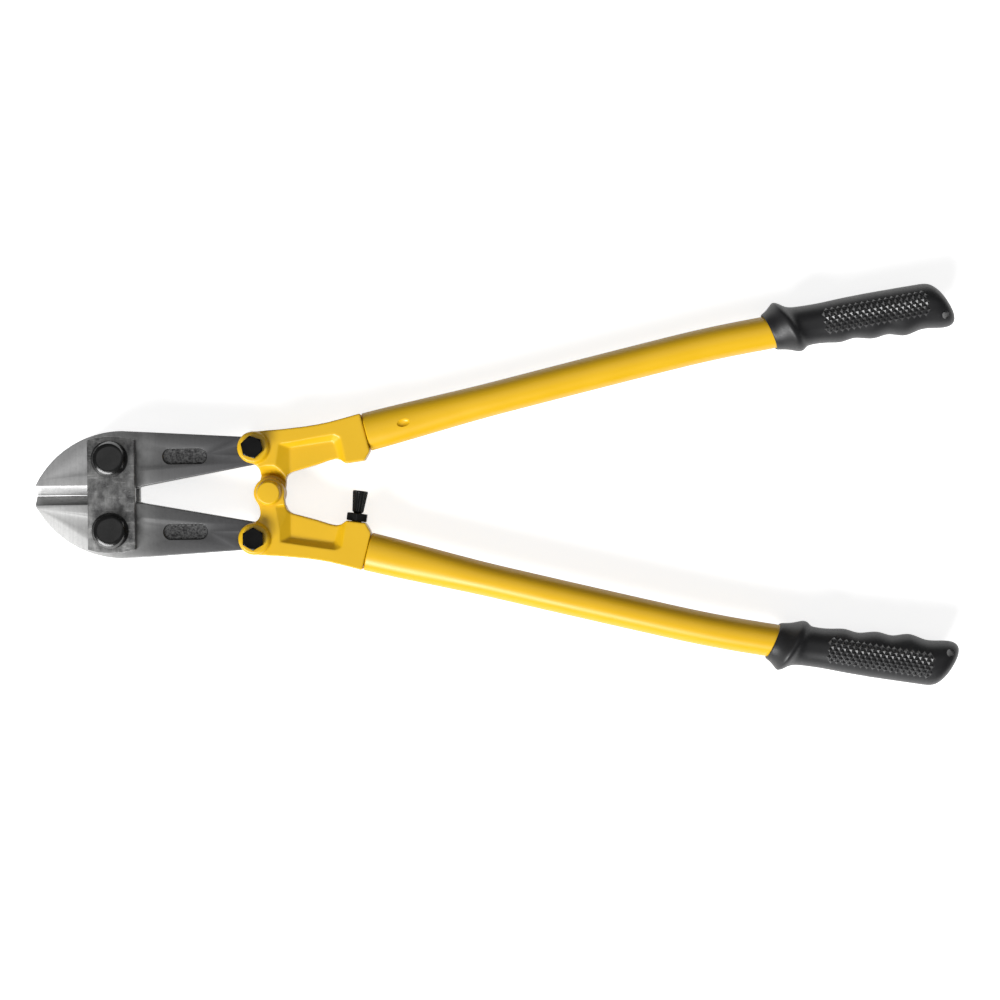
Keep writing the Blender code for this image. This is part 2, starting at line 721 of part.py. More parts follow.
def build_yoke_bolts(finishes, handles, shared):
    """The heads are on the front of both yokes, so the turned-over half has its bolt turned back."""
    seat = EAR_HALF + GAP
    for half, handle in handles.items():
        over = 180.0 if half == "lower" else 0.0
        front = -1.0 if half == "lower" else 1.0
        spin = UPPER_HEX_TURN if half == "upper" else 0.0
        finish = finishes["black_steel"]
        under = (0.0, 0.0, -front * seat)
        add_part(f"{half}_yoke_bolt", shared["bolt"], finish, handle, turn=(over, 0.0, spin))
        add_part(f"{half}_yoke_nut", shared["nut"], finish, handle, under, (180.0 - over, 0.0, spin))


def build_centre_pin(finishes, lower_handle):
    """The pin is fixed in the lower yoke, whose lap lies in front."""
    x, y = lap_centre()
    seat = YOKE_HALF + GAP
    nut_place = seat + PIN_WASHER_THICKNESS + GAP
    washer = washer_mesh("pin_washer", PIN_WASHER_RADIUS, PIN_SHANK_RADIUS + GAP, PIN_WASHER_THICKNESS)
    nut = nut_mesh("pin_nut", YOKE_BOLT_ACROSS_FLATS, PIN_NUT_HEIGHT, PIN_SHANK_RADIUS + GAP)
    add_part("centre_pin", centre_pin_mesh(), finishes["paint"], lower_handle, (x, y, 0.0), (180.0, 0.0, 0.0))
    add_part("centre_pin_washer", washer, finishes["zinc"], lower_handle, (x, y, seat))
    add_part("centre_pin_nut", nut, finishes["black_steel"], lower_handle, (x, y, nut_place))


def build_stop(finishes, lower_handle):
    axis = bpy.data.objects.new("stop_screw_axis", None)
    axis.empty_display_size = 5.0 * MM
    axis.parent = lower_handle
    axis.matrix_local = stop_frame()
    bpy.context.scene.collection.objects.link(axis)
    nut = nut_mesh("stop_lock_nut", LOCK_NUT_ACROSS_FLATS, LOCK_NUT_HEIGHT, STOP_SHANK_RADIUS + GAP)
    add_part("stop_lock_nut", nut, finishes["black_steel"], axis, (0.0, 0.0, GAP), (0.0, 0.0, 30.0))
    add_part("stop_screw", stop_screw_mesh(), finishes["black_steel"], axis)


def stand_on_origin(root):
    """Centres the tool's box over the origin, with the lowest point at Z = 0."""
    bpy.context.view_layer.update()
    corners = []
    for part in bpy.data.objects:
        if part.type == "MESH":
            corners += [part.matrix_world @ vertex.co for vertex in part.data.vertices]
    middle_x = (min(point.x for point in corners) + max(point.x for point in corners)) / 2.0
    lowest = min(point.z for point in corners)
    root.location = (-middle_x, 0.0, -lowest)
    bpy.context.view_layer.update()


def main():
    clear_scene()
    finishes = {
        "jaw": make_finish("ground_steel", (0.26, 0.26, 0.26), 0.38, 1.0),
        "plate": make_finish("brushed_plate", (0.16, 0.16, 0.16), 0.45, 1.0),
        "black_steel": make_finish("black_oxide_steel", (0.02, 0.02, 0.022), 0.4, 0.6),
        "zinc": make_finish("zinc_washer", (0.45, 0.46, 0.47), 0.4, 1.0),
        "paint": make_finish("yellow_paint", (0.85, 0.52, 0.03), 0.3, 0.0),
        "rubber": make_finish("black_rubber", (0.015, 0.015, 0.015), 0.6, 0.0),
    }
    root = axis_empty("bolt_cutters", (0.0, 0.0))
    build_link(finishes, root)
    shared = {
        "jaw": jaw_mesh(),
        "tube": tube_mesh(),
        "grip": grip_mesh(),
        "bolt": yoke_bolt_mesh(),
        "nut": nut_mesh("yoke_nut", YOKE_BOLT_ACROSS_FLATS, YOKE_NUT_HEIGHT, YOKE_SHANK_RADIUS + GAP),
    }
    handles = {}
    for half, side in (("upper", 1.0), ("lower", -1.0)):
        handles[half] = build_half(half, side, finishes, root, shared)
    build_yoke_bolts(finishes, handles, shared)
    build_centre_pin(finishes, handles["lower"])
    build_stop(finishes, handles["lower"])
    stand_on_origin(root)


main()
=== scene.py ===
import json
import math

import bmesh
import bpy
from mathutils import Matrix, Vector


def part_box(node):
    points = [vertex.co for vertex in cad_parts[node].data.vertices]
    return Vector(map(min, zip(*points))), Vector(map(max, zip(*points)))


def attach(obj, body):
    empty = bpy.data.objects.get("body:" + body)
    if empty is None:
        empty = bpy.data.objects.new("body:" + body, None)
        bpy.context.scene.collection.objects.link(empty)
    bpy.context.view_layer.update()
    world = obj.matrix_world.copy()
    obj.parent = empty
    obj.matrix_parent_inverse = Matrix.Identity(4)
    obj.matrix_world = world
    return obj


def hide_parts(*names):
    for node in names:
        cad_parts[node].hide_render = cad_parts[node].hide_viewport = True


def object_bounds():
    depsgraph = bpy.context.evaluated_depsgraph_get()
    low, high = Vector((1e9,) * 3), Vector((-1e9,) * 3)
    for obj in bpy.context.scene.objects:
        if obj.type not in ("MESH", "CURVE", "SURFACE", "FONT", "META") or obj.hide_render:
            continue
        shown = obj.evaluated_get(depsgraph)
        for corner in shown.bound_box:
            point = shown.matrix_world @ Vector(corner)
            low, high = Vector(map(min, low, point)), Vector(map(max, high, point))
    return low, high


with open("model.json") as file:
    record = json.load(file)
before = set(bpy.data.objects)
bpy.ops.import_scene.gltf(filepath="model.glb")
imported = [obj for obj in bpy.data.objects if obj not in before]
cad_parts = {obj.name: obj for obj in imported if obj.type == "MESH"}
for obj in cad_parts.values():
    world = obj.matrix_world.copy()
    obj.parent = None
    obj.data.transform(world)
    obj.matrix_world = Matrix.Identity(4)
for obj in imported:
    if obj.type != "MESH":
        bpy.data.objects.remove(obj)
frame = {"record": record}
cad_low, cad_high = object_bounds()

# Sizes are in millimetres, and MM turns them into metres.
MM = 0.001
GAP = 0.3
ORIGIN = (0.0, 0.0)
M6_FLATS = 10.0
M6_SHANK = 3.0
M6_BORE = 3.3
M6_PITCH = 0.8
JOINTS = {joint["name"]: joint for joint in frame["record"]["behaviour"]["joints"]}
JAW_PIVOT = Vector(JOINTS["upper_jaw_pivot"]["pos_m"])
YOKE_PIVOT = Vector(JOINTS["upper_handle_pivot"]["pos_m"])
STOP_AXIS = Vector(JOINTS["stop_screw_thread"]["axis"])
MID = JAW_PIVOT.z


def box_middle(node):
    low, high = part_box(node)
    return (low + high) / 2.0


PIN_CENTRE = box_middle("centre_pin")
LAP = (PIN_CENTRE - YOKE_PIVOT) / MM
TOOL_AXIS = Vector((0.0, 0.0, MID))


# Bench tools: selecting, drawing, turning and cutting.


def clear_selection():
    bpy.ops.object.select_all(action="DESELECT")


def take(piece):
    clear_selection()
    piece.select_set(True)
    bpy.context.view_layer.objects.active = piece
    return piece


def settle(name=None):
    """Puts the active piece's place, turn and size into its mesh."""
    piece = bpy.context.object
    bpy.ops.object.transform_apply(location=True, rotation=True, scale=True)
    if name:
        piece.name = name
        piece.data.name = name
    return piece


def start_edit(piece):
    take(piece)
    bpy.ops.object.mode_set(mode="EDIT")
    bpy.ops.mesh.select_mode(type="VERT")
    bpy.ops.mesh.select_all(action="SELECT")


def end_edit():
    bpy.ops.object.mode_set(mode="OBJECT")


def pick(kind, rule):
    """In edit mode, selects the vertices, edges or faces that pass a rule."""
    bpy.ops.mesh.select_mode(type=kind)
    bpy.ops.mesh.select_all(action="DESELECT")
    mesh = bpy.context.edit_object.data
    shape = bmesh.from_edit_mesh(mesh)
    parts = {"VERT": shape.verts, "EDGE": shape.edges, "FACE": shape.faces}[kind]
    for part in parts:
        if rule(part):
            part.select_set(True)
    shape.select_flush_mode()
    bmesh.update_edit_mesh(mesh)


def face_outwards():
    bpy.ops.mesh.select_all(action="SELECT")
    bpy.ops.mesh.normals_make_consistent(inside=False)


def extrude(x, y, z):
    bpy.ops.mesh.extrude_region_move(TRANSFORM_OT_translate={"value": (x, y, z)})


def arc(centre, radius, start, end, steps):
    """Points on an arc, both ends included; the angles are in degrees."""
    points = []
    for step in range(steps + 1):
        angle = math.radians(start + (end - start) * step / steps)
        points.append((centre[0] + radius * math.cos(angle), centre[1] + radius * math.sin(angle)))
    return points


def drawn(name, outline, low, high, origin):
    """Draws an outline point by point, in millimetres from an origin, fills it and raises it."""
    clear_selection()
    first = outline[0]
    start = (origin.x + first[0] * MM, origin.y + first[1] * MM, MID + low * MM)
    bpy.ops.mesh.primitive_plane_add(size=MM, location=start)
    piece = settle(name)
    start_edit(piece)
    bpy.ops.mesh.merge(type="CENTER")
    for before, after in zip(outline, outline[1:]):
        extrude((after[0] - before[0]) * MM, (after[1] - before[1]) * MM, 0.0)
    bpy.ops.mesh.select_all(action="SELECT")
    bpy.ops.mesh.edge_face_add()
    extrude(0.0, 0.0, (high - low) * MM)
    face_outwards()
    end_edit()
    return piece


def turned(name, profile, origin, sides=64):
    """Raises a round piece level by level from (radius, height) pairs, in millimetres from the mid-plane."""
    clear_selection()
    radius, height = profile[0]
    start = Vector((origin.x, origin.y, MID + height * MM))
    bpy.ops.mesh.primitive_circle_add(vertices=sides, radius=radius * MM, fill_type="NGON", location=start)
    piece = settle(name)
    start_edit(piece)
    for next_radius, next_height in profile[1:]:
        extrude(0.0, 0.0, (next_height - height) * MM)
        ratio = next_radius / radius
        centre = (origin.x, origin.y, MID + next_height * MM)
        bpy.ops.transform.resize(value=(ratio, ratio, 1.0), center_override=centre)
        radius, height = next_radius, next_height
    face_outwards()
    end_edit()
    return piece


def combine(piece, tool, operation="DIFFERENCE"):
    """Cuts a piece with a tool, or joins the two, and clears the tool away."""
    take(piece)
    step = piece.modifiers.new("combine", "BOOLEAN")
    step.operation = operation
    step.object = tool
    bpy.ops.object.modifier_apply(modifier=step.name)
    bpy.data.objects.remove(tool)
    return piece


def drill(piece, centre, radius, low, high, origin, sides=64):
    hole = Vector((origin.x + centre[0] * MM, origin.y + centre[1] * MM, 0.0))
    return combine(piece, turned("drill", ((radius, low), (radius, high)), hole, sides))


def round_edges(piece, width, segments=3, angle=30.0):
    take(piece)
    step = piece.modifiers.new("edges", "BEVEL")
    step.width = width * MM
    step.segments = segments
    step.limit_method = "ANGLE"
    step.angle_limit = math.radians(angle)
    step.use_clamp_overlap = True
    bpy.ops.object.modifier_apply(modifier=step.name)
    return piece


def smooth(piece, angle=32.0):
    take(piece)
    bpy.ops.object.shade_smooth_by_angle(angle=math.radians(angle))
    return piece


def copy_of(piece, name):
    take(piece)
    bpy.ops.object.duplicate()
    double = bpy.context.object
    double.name = name
    double.data.name = name
    return double


def turned_over(piece, name):
    """A copy on the other half of the tool: turned half round its long axis."""
    double = copy_of(piece, name)
    bpy.ops.transform.rotate(value=math.pi, orient_axis="X", center_override=TOOL_AXIS)
    bpy.ops.object.transform_apply(location=True, rotation=True, scale=True)
    return double


def slid_copy(piece, name, shift):
    double = copy_of(piece, name)
    bpy.ops.transform.translate(value=shift)
    bpy.ops.object.transform_apply(location=True, rotation=True, scale=True)
    return double


def finished(piece, finish, slot, body, *nodes):
    """Gives a piece its finish and its body, and hides the nodes that it stands for."""
    if finish:
        piece.data.materials.clear()
        piece.data.materials.append(finish)
    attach(piece, body)
    if nodes:
        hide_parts(*nodes)
    return piece


# Finishes.


class Recipe:
    """A material's node tree, with short calls for the nodes that the finishes share."""

    def __init__(self, name, metallic, roughness):
        self.material = bpy.data.materials.new(name)
        self.material.use_nodes = True
        self.tree = self.material.node_tree
        self.shader = self.tree.nodes["Principled BSDF"]
        self.shader.inputs["Metallic"].default_value = metallic
        self.shader.inputs["Roughness"].default_value = roughness
        self.place = self.tree.nodes.new("ShaderNodeTexCoord").outputs["Object"]

    def link(self, source, target):
        self.tree.links.new(source, target)

    def stretched(self, scale):
        mapping = self.tree.nodes.new("ShaderNodeMapping")
        mapping.inputs["Scale"].default_value = scale
        self.link(self.place, mapping.inputs["Vector"])
        return mapping.outputs["Vector"]

    def noise(self, scale, detail=3.0, stretch=(1.0, 1.0, 1.0), roughness=0.5):
        node = self.tree.nodes.new("ShaderNodeTexNoise")
        node.inputs["Scale"].default_value = scale
        node.inputs["Detail"].default_value = detail
        node.inputs["Roughness"].default_value = roughness
        self.link(self.stretched(stretch), node.inputs["Vector"])
        return node.outputs["Fac"]

    def span(self, value, low, high, start=0.0, end=1.0):
        """Maps low..high of a value to start..end, clamped."""
        node = self.tree.nodes.new("ShaderNodeMapRange")
        for name, number in (("From Min", low), ("From Max", high), ("To Min", start), ("To Max", end)):
            node.inputs[name].default_value = number
        self.link(value, node.inputs["Value"])
        return node.outputs["Result"]

    def along(self, axis):
        node = self.tree.nodes.new("ShaderNodeSeparateXYZ")
        self.link(self.place, node.inputs["Vector"])
        return node.outputs[axis]

    def maths(self, operation, first, second):
        node = self.tree.nodes.new("ShaderNodeMath")
        node.operation = operation
        for socket, value in zip(node.inputs, (first, second)):
            if isinstance(value, (int, float)):
                socket.default_value = value
            else:
                self.link(value, socket)
        return node.outputs["Value"]

    def blend(self, share, first, second):
        """Mixes two colours; either can be a colour or another node's output."""
        node = self.tree.nodes.new("ShaderNodeMix")
        node.data_type = "RGBA"
        colours = [socket for socket in node.inputs if socket.type == "RGBA"]
        self.link(share, node.inputs["Factor"])
        for socket, value in zip(colours, (first, second)):
            if isinstance(value, tuple):
                socket.default_value = (*value, 1.0)
            else:
                self.link(value, socket)
        return [socket for socket in node.outputs if socket.type == "RGBA"][0]

    def bump(self, height, strength, distance, under=None):
        node = self.tree.nodes.new("ShaderNodeBump")
        node.inputs["Strength"].default_value = strength
        node.inputs["Distance"].default_value = distance
        self.link(height, node.inputs["Height"])
        if under is not None:
            self.link(under, node.inputs["Normal"])
        return node.outputs["Normal"]

    def finish(self, colour, roughness=None, normal=None):
        self.link(colour, self.shader.inputs["Base Color"])
        if roughness is not None:
            self.link(roughness, self.shader.inputs["Roughness"])
        if normal is not None:
            self.link(normal, self.shader.inputs["Normal"])
        return self.material


def ground_jaw_steel():
    """Ground blades: bright at the tips and darker along the arms, with a painted highlight that makes the
    lower jaw's tip brighter than the upper's and painted shade in the lower jaw's edge bevel.
    """
    recipe = Recipe("ground_jaw_steel", 1.0, 0.4)
    left = cad_low.x
    fade = recipe.span(recipe.along("X"), left + 8.0 * MM, left + 62.0 * MM)
    arm = recipe.span(recipe.along("X"), left + 55.0 * MM, left + 118.0 * MM)
    # Painted highlight: below the mid-line, on the lower jaw, the tip colour is painted brighter than on the
    # upper jaw.
    half = recipe.span(recipe.along("Y"), 12.0 * MM, -12.0 * MM)
    tip = recipe.blend(half, (0.74, 0.74, 0.74), (0.84, 0.84, 0.83))
    rear = recipe.blend(arm, (0.20, 0.20, 0.20), (0.10, 0.10, 0.105))
    across = recipe.along("Y")
    # Painted shade: the lower jaw's edge bevel, next to the mid-line, is painted dark.
    past_bevel = recipe.span(across, -4.9 * MM, -4.5 * MM)
    lower_half = recipe.span(across, 0.2 * MM, 0.0)
    bevel = recipe.maths("MULTIPLY", past_bevel, lower_half)
    # Share of painted shade laid on the lower jaw's bevel, up to 0.7 of a dark grey.
    ground = recipe.span(bevel, 0.0, 1.0, 0.0, 0.7)
    base = recipe.blend(ground, recipe.blend(fade, tip, rear), (0.1, 0.1, 0.1))
    lines = recipe.noise(900.0, 4.0, (1.0, 0.08, 1.0), 0.65)
    mottle = recipe.noise(420.0, 4.0, (1.0, 1.0, 1.0), 0.6)
    worn = recipe.blend(recipe.span(lines, 0.35, 0.75, 0.0, 0.16), base, (0.09, 0.09, 0.095))
    colour = recipe.blend(recipe.span(mottle, 0.45, 0.75, 0.0, 0.22), worn, (0.07, 0.07, 0.072))
    rough = recipe.span(mottle, 0.2, 0.8, 0.36, 0.5)
    normal = recipe.bump(lines, 0.12, 0.03 * MM, recipe.bump(mottle, 0.12, 0.05 * MM))
    return recipe.finish(colour, rough, normal)


def forged_skin():
    """The rough dark skin left in the jaws' recesses."""
    recipe = Recipe("forged_skin", 0.6, 0.6)
    lumps = recipe.noise(1100.0, 4.0)
    colour = recipe.blend(recipe.span(lumps, 0.35, 0.7), (0.016, 0.016, 0.017), (0.12, 0.12, 0.12))
    rough = recipe.span(lumps, 0.3, 0.7, 0.7, 0.45)
    return recipe.finish(colour, rough, recipe.bump(lumps, 0.5, 0.2 * MM))


def brushed_plate_steel():
    """Dark tempered plate: blotchy, faintly brushed, with light scratches and scuffs."""
    recipe = Recipe("brushed_plate_steel", 1.0, 0.45)
    brush = recipe.noise(800.0, 5.0, (1.0, 0.08, 1.0), 0.7)
    cloud = recipe.noise(190.0, 5.0, (1.0, 0.8, 1.0), 0.65)
    scuff = recipe.noise(330.0, 4.0, (0.5, 1.6, 1.0), 0.7)
    turn = recipe.tree.nodes.new("ShaderNodeMapping")
    turn.inputs["Rotation"].default_value = (0.0, 0.0, math.radians(-24.0))
    turn.inputs["Scale"].default_value = (60.0, 1300.0, 60.0)
    recipe.link(recipe.place, turn.inputs["Vector"])
    scratch = recipe.tree.nodes.new("ShaderNodeTexNoise")
    scratch.inputs["Scale"].default_value = 1.0
    scratch.inputs["Detail"].default_value = 2.0
    recipe.link(turn.outputs["Vector"], scratch.inputs["Vector"])
    base = recipe.blend(recipe.span(cloud, 0.3, 0.7), (0.085, 0.085, 0.086), (0.37, 0.37, 0.365))
    streaked = recipe.blend(recipe.span(brush, 0.4, 0.8, 0.0, 0.35), base, (0.045, 0.045, 0.046))
    scuffed = recipe.blend(recipe.span(scuff, 0.58, 0.70, 0.0, 0.6), streaked, (0.48, 0.48, 0.475))
    lines = recipe.span(scratch.outputs["Fac"], 0.62, 0.7)
    marks = recipe.maths("MULTIPLY", lines, recipe.span(cloud, 0.42, 0.55))
    colour = recipe.blend(recipe.maths("MULTIPLY", marks, 0.7), scuffed, (0.5, 0.5, 0.49))
    rough = recipe.span(cloud, 0.2, 0.8, 0.36, 0.56)
    normal = recipe.bump(brush, 0.15, 0.03 * MM, recipe.bump(cloud, 0.25, 0.12 * MM))
    return recipe.finish(colour, rough, normal)


def blackened_steel(name, metallic, dark, light):
    """Bolts and nuts: blackened, slightly grained steel."""
    recipe = Recipe(name, metallic, 0.3)
    grain = recipe.noise(1500.0, 3.0)
    cloud = recipe.noise(160.0, 3.0)
    colour = recipe.blend(recipe.span(cloud, 0.35, 0.75), (dark, dark, dark), (light, light, light))
    rough = recipe.span(grain, 0.3, 0.7, 0.17, 0.25)
    normal = recipe.bump(grain, 0.2, 0.02 * MM)
    return recipe.finish(colour, rough, normal)


def zinc_plate():
    recipe = Recipe("zinc_plate", 1.0, 0.35)
    cloud = recipe.noise(220.0, 4.0)
    colour = recipe.blend(cloud, (0.42, 0.43, 0.44), (0.6, 0.6, 0.6))
    rough = recipe.span(cloud, 0.3, 0.7, 0.28, 0.45)
    return recipe.finish(colour, rough, recipe.bump(cloud, 0.15, 0.05 * MM))


def yellow_enamel():
    """Thick gloss enamel over forgings and tubes, with a faint orange peel and dirt specks."""
    recipe = Recipe("yellow_enamel", 0.0, 0.34)
    cloud = recipe.noise(45.0, 4.0)
    speck = recipe.noise(900.0, 2.0)
    base = recipe.blend(recipe.span(cloud, 0.3, 0.7), (0.82, 0.480, 0.006), (0.85, 0.505, 0.009))
    colour = recipe.blend(recipe.span(speck, 0.72, 0.8, 0.0, 0.3), base, (0.45, 0.25, 0.02))
    rough = recipe.span(cloud, 0.3, 0.7, 0.32, 0.37)
    peel = recipe.noise(650.0, 2.0)
    normal = recipe.bump(peel, 0.08, 0.05 * MM)
    return recipe.finish(colour, rough, normal)


def black_rubber(name, smoothest, roughest, sheen=0.5):
    """Moulded rubber: near black, with a fine matt grain."""
    recipe = Recipe(name, 0.0, roughest)
    grain = recipe.noise(1800.0, 3.0)
    cloud = recipe.noise(90.0, 3.0)
    colour = recipe.blend(recipe.span(cloud, 0.3, 0.7), (0.006, 0.006, 0.007), (0.011, 0.011, 0.012))
    recipe.shader.inputs["Specular IOR Level"].default_value = sheen
    rough = recipe.span(grain, 0.3, 0.7, smoothest, roughest)
    normal = recipe.bump(grain, 0.25, 0.05 * MM)
    return recipe.finish(colour, rough, normal)


JAW_STEEL = ground_jaw_steel()
FORGED_SKIN = forged_skin()
PLATE_STEEL = brushed_plate_steel()
BLACK = blackened_steel("black_oxide", 0.0, 0.004, 0.012)
DEEP_BLACK = blackened_steel("deep_black_oxide", 0.5, 0.003, 0.008)
DEEP_BLACK.node_tree.nodes["Principled BSDF"].inputs["Specular IOR Level"].default_value = 0.25
ZINC = zinc_plate()
ENAMEL = yellow_enamel()
RUBBER = black_rubber("black_rubber", 0.36, 0.52)
KNURL_RUBBER = black_rubber("polished_rubber", 0.3, 0.4, 0.85)


# Jaws.

JAW_HALF = 4.5
TIP_X = -38.2
TIP_TOP = 5.5 - 17.8
BACK_CENTRE = (5.0, -34.4)
BACK_RADIUS = 48.5
ARM_TOP = (62.8, 10.6)
YOKE_BOLT = ((YOKE_PIVOT.x - JAW_PIVOT.x) / MM, (YOKE_PIVOT.y - JAW_PIVOT.y) / MM)
ARM_END_RADIUS = 8.2
ARM_INNER = (15.1, -13.6)
EDGE_Y = 0.15 - 17.8
EDGE_BEVEL = 4.6
EDGE_LAND = 0.3
JAW_SHANK = 4.9
JAW_BORE = 5.2
JAW_DRILL = 6.0
JAW_NUT_FLATS = 16.0
RECESS = (36.3, 1.0)
RECESS_REACH = 7.15
RECESS_RADIUS = 4.05
RECESS_DEPTH = 0.9


def jaw_outline():
    tip_angle = math.degrees(math.atan2(TIP_TOP - BACK_CENTRE[1], TIP_X - BACK_CENTRE[0]))
    outline = [(TIP_X, EDGE_Y)]
    outline += arc(BACK_CENTRE, BACK_RADIUS, tip_angle, 90.0, 36)
    outline.append(ARM_TOP)
    outline += arc(YOKE_BOLT, ARM_END_RADIUS, 36.0, -79.7, 18)
    outline.append(ARM_INNER)
    outline += arc((0.0, 0.0), -EDGE_Y, -80.0, -90.0, 4)
    return outline


def edge_wedge(side):
    """The metal ground off one face along the cutting edge."""
    slope = (JAW_HALF - EDGE_LAND) / EDGE_BEVEL
    reach = 1.2
    run = 48.0 * MM
    start = Vector((JAW_PIVOT.x + (TIP_X - 4.0) * MM, JAW_PIVOT.y, MID))
    clear_selection()
    bpy.ops.mesh.primitive_plane_add(size=MM, location=start)
    wedge = settle("wedge")
    start_edit(wedge)
    bpy.ops.mesh.merge(type="CENTER")
    low = (EDGE_Y - reach, EDGE_LAND - reach * slope)
    high = (EDGE_Y + EDGE_BEVEL + reach, JAW_HALF + reach * slope)
    bpy.ops.transform.translate(value=(0.0, low[0] * MM, side * low[1] * MM))
    extrude(0.0, (high[0] - low[0]) * MM, side * (high[1] - low[1]) * MM)
    extrude(0.0, (low[0] - high[0]) * MM, 0.0)
    bpy.ops.mesh.select_all(action="SELECT")
    bpy.ops.mesh.edge_face_add()
    extrude(run, 0.0, 0.0)
    face_outwards()
    end_edit()
    return wedge


def stadium_tool(side):
    """A round-ended recess with sloping walls."""
    right = arc((RECESS[0] + RECESS_REACH, RECESS[1]), RECESS_RADIUS - 0.5, -90.0, 90.0, 14)
    left = arc((RECESS[0] - RECESS_REACH, RECESS[1]), RECESS_RADIUS - 0.5, 90.0, 270.0, 14)
    floor = JAW_HALF - RECESS_DEPTH
    over = JAW_HALF + 1.0
    tool = drawn("recess", right + left, *sorted((side * floor, side * over)), JAW_PIVOT)
    start_edit(tool)
    outer = MID + side * (over - 0.1) * MM
    pick("FACE", lambda face: abs(face.normal.z) > 0.9 and side * face.calc_center_median().z > side * outer)
    centre = (JAW_PIVOT.x + RECESS[0] * MM, JAW_PIVOT.y + RECESS[1] * MM, MID)
    bpy.ops.transform.resize(value=(1.09, 1.26, 1.0), center_override=centre)
    end_edit()
    return tool


def make_jaw():
    jaw = drawn("upper_jaw_blade", jaw_outline(), -JAW_HALF, JAW_HALF, JAW_PIVOT)
    start_edit(jaw)
    edge_limit = JAW_PIVOT.y + (EDGE_Y + 1.0) * MM

    def rim(edge):
        first, second = edge.verts
        level = abs(first.co.z - second.co.z) < 1e-5
        return level and max(first.co.y, second.co.y) > edge_limit

    pick("EDGE", rim)
    bpy.ops.mesh.bevel(offset=0.55 * MM, segments=3, affect="EDGES")
    end_edit()
    for side in (1.0, -1.0):
        combine(jaw, edge_wedge(side))
        combine(jaw, stadium_tool(side))
    drill(jaw, ORIGIN, JAW_BORE, -JAW_DRILL, JAW_DRILL, JAW_PIVOT)
    drill(jaw, YOKE_BOLT, M6_BORE, -JAW_DRILL, JAW_DRILL, JAW_PIVOT)
    round_edges(jaw, 0.14, 2, 22.0)
    smooth(jaw)
    jaw.data.materials.append(JAW_STEEL)
    jaw.data.materials.append(FORGED_SKIN)
    start_edit(jaw)
    middle = Vector((JAW_PIVOT.x + RECESS[0] * MM, JAW_PIVOT.y + RECESS[1] * MM, MID))
    floor = (JAW_HALF - RECESS_DEPTH + 0.1) * MM

    def in_recess(face):
        place = face.calc_center_median() - middle
        inside = abs(place.x) < (RECESS_REACH + RECESS_RADIUS) * MM and abs(place.y) < RECESS_RADIUS * MM
        return inside and abs(place.z) < floor

    pick("FACE", in_recess)
    jaw.active_material_index = 1
    bpy.ops.object.material_slot_assign()
    end_edit()
    return jaw


upper_jaw = make_jaw()
lower_jaw = turned_over(upper_jaw, "lower_jaw_blade")
finished(upper_jaw, None, "jaw_steel", "upper_jaw", "upper_jaw")
finished(lower_jaw, None, "jaw_steel", "lower_jaw", "lower_jaw")


# Link plates.


def make_plate():
    low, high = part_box("front_link_plate")
    middle = (low + high) / 2.0
    half_width = (high.x - low.x) / 2.0 / MM
    half_height = (high.y - low.y) / 2.0 / MM
    rise = 1.8
    radius = (half_width ** 2 + rise ** 2) / (2.0 * rise)
    reach = math.degrees(math.asin(half_width / radius))
    outline = arc((0.0, half_height - radius), radius, 90.0 - reach, 90.0 + reach, 16)
    outline += arc((0.0, radius - half_height), radius, 270.0 - reach, 270.0 + reach, 16)
    plate = drawn("front_link_strap", outline, (low.z - MID) / MM, (high.z - MID) / MM, middle)
    for side in (1.0, -1.0):
        centre = ((JAW_PIVOT.x - middle.x) / MM, side * JAW_PIVOT.y / MM)
        drill(plate, centre, JAW_BORE, 3.0, 11.0, middle)
    return smooth(round_edges(plate, 0.3, 3, 40.0))


front_plate = make_plate()
rear_plate = turned_over(front_plate, "rear_link_strap")
finished(front_plate, PLATE_STEEL, "link_plate", "link", "front_link_plate")
finished(rear_plate, PLATE_STEEL, "link_plate", "link", "rear_link_plate")


# Bolts, washers and nuts.


def heights(node):
    low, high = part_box(node)
    return (low.z - MID) / MM, (high.z - MID) / MM


def hexagon_bar(name, across_flats, low, high, origin, turn=0.0):
    """A six-sided bar with its corners turned off at both ends."""
    corner = across_flats / 2.0 / math.cos(math.pi / 6.0)
    outline = arc((0.0, 0.0), corner, turn, turn + 300.0, 5)
    bar = drawn(name, outline, low - 0.5, high + 0.5, origin)
    flat = across_flats / 2.0 - 0.15
    cut = (corner - flat) * 0.5
    profile = ((flat, low), (corner + 0.1, low + cut), (corner + 0.1, high - cut), (flat, high))
    return combine(bar, turned("barrel", profile, origin, 50), "INTERSECT")


def thread(name, radius, low, high, origin, pitch=1.0):
    """A shank's end with its thread crests as rings, raised level by level."""
    profile = [(radius - 0.6, low), (radius - 0.05, low + 0.6)]
    height = low + 0.6
    while height + pitch < high:
        profile += [(radius, height + 0.35 * pitch), (radius - 0.45, height + 0.75 * pitch)]
        height += pitch
    profile += [(radius, height + 0.2), (radius, high)]
    return turned(name, profile, origin, 40)


def make_jaw_bolt():
    low, high = heights("upper_jaw_bolt")
    seat = heights("front_link_plate")[1] + GAP
    profile = ((9.0, seat), (9.0, seat + 2.2), (7.55, high - 0.85), (6.1, high - 0.1), (5.9, high))
    head = turned("upper_jaw_bolt_head", profile, JAW_PIVOT, 96)
    start_edit(head)
    top = MID + (high - 0.1) * MM
    pick("FACE", lambda face: face.calc_center_median().z > top)
    bpy.ops.mesh.inset(thickness=0.35 * MM, depth=-0.15 * MM)
    end_edit()
    shank = thread("shank", JAW_SHANK, low, seat + 1.0, JAW_PIVOT)
    return smooth(combine(head, shank, "UNION"))


def make_ring(name, node, hole, origin, bevel=0.15):
    low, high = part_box(node)
    radius = (high.x - low.x) / 2.0 / MM
    bottom, top = heights(node)
    ring = turned(name, ((radius, bottom), (radius, top)), origin, 72)
    drill(ring, ORIGIN, hole, bottom - 1.0, top + 1.0, origin, 48)
    return smooth(round_edges(ring, bevel, 2, 40.0))


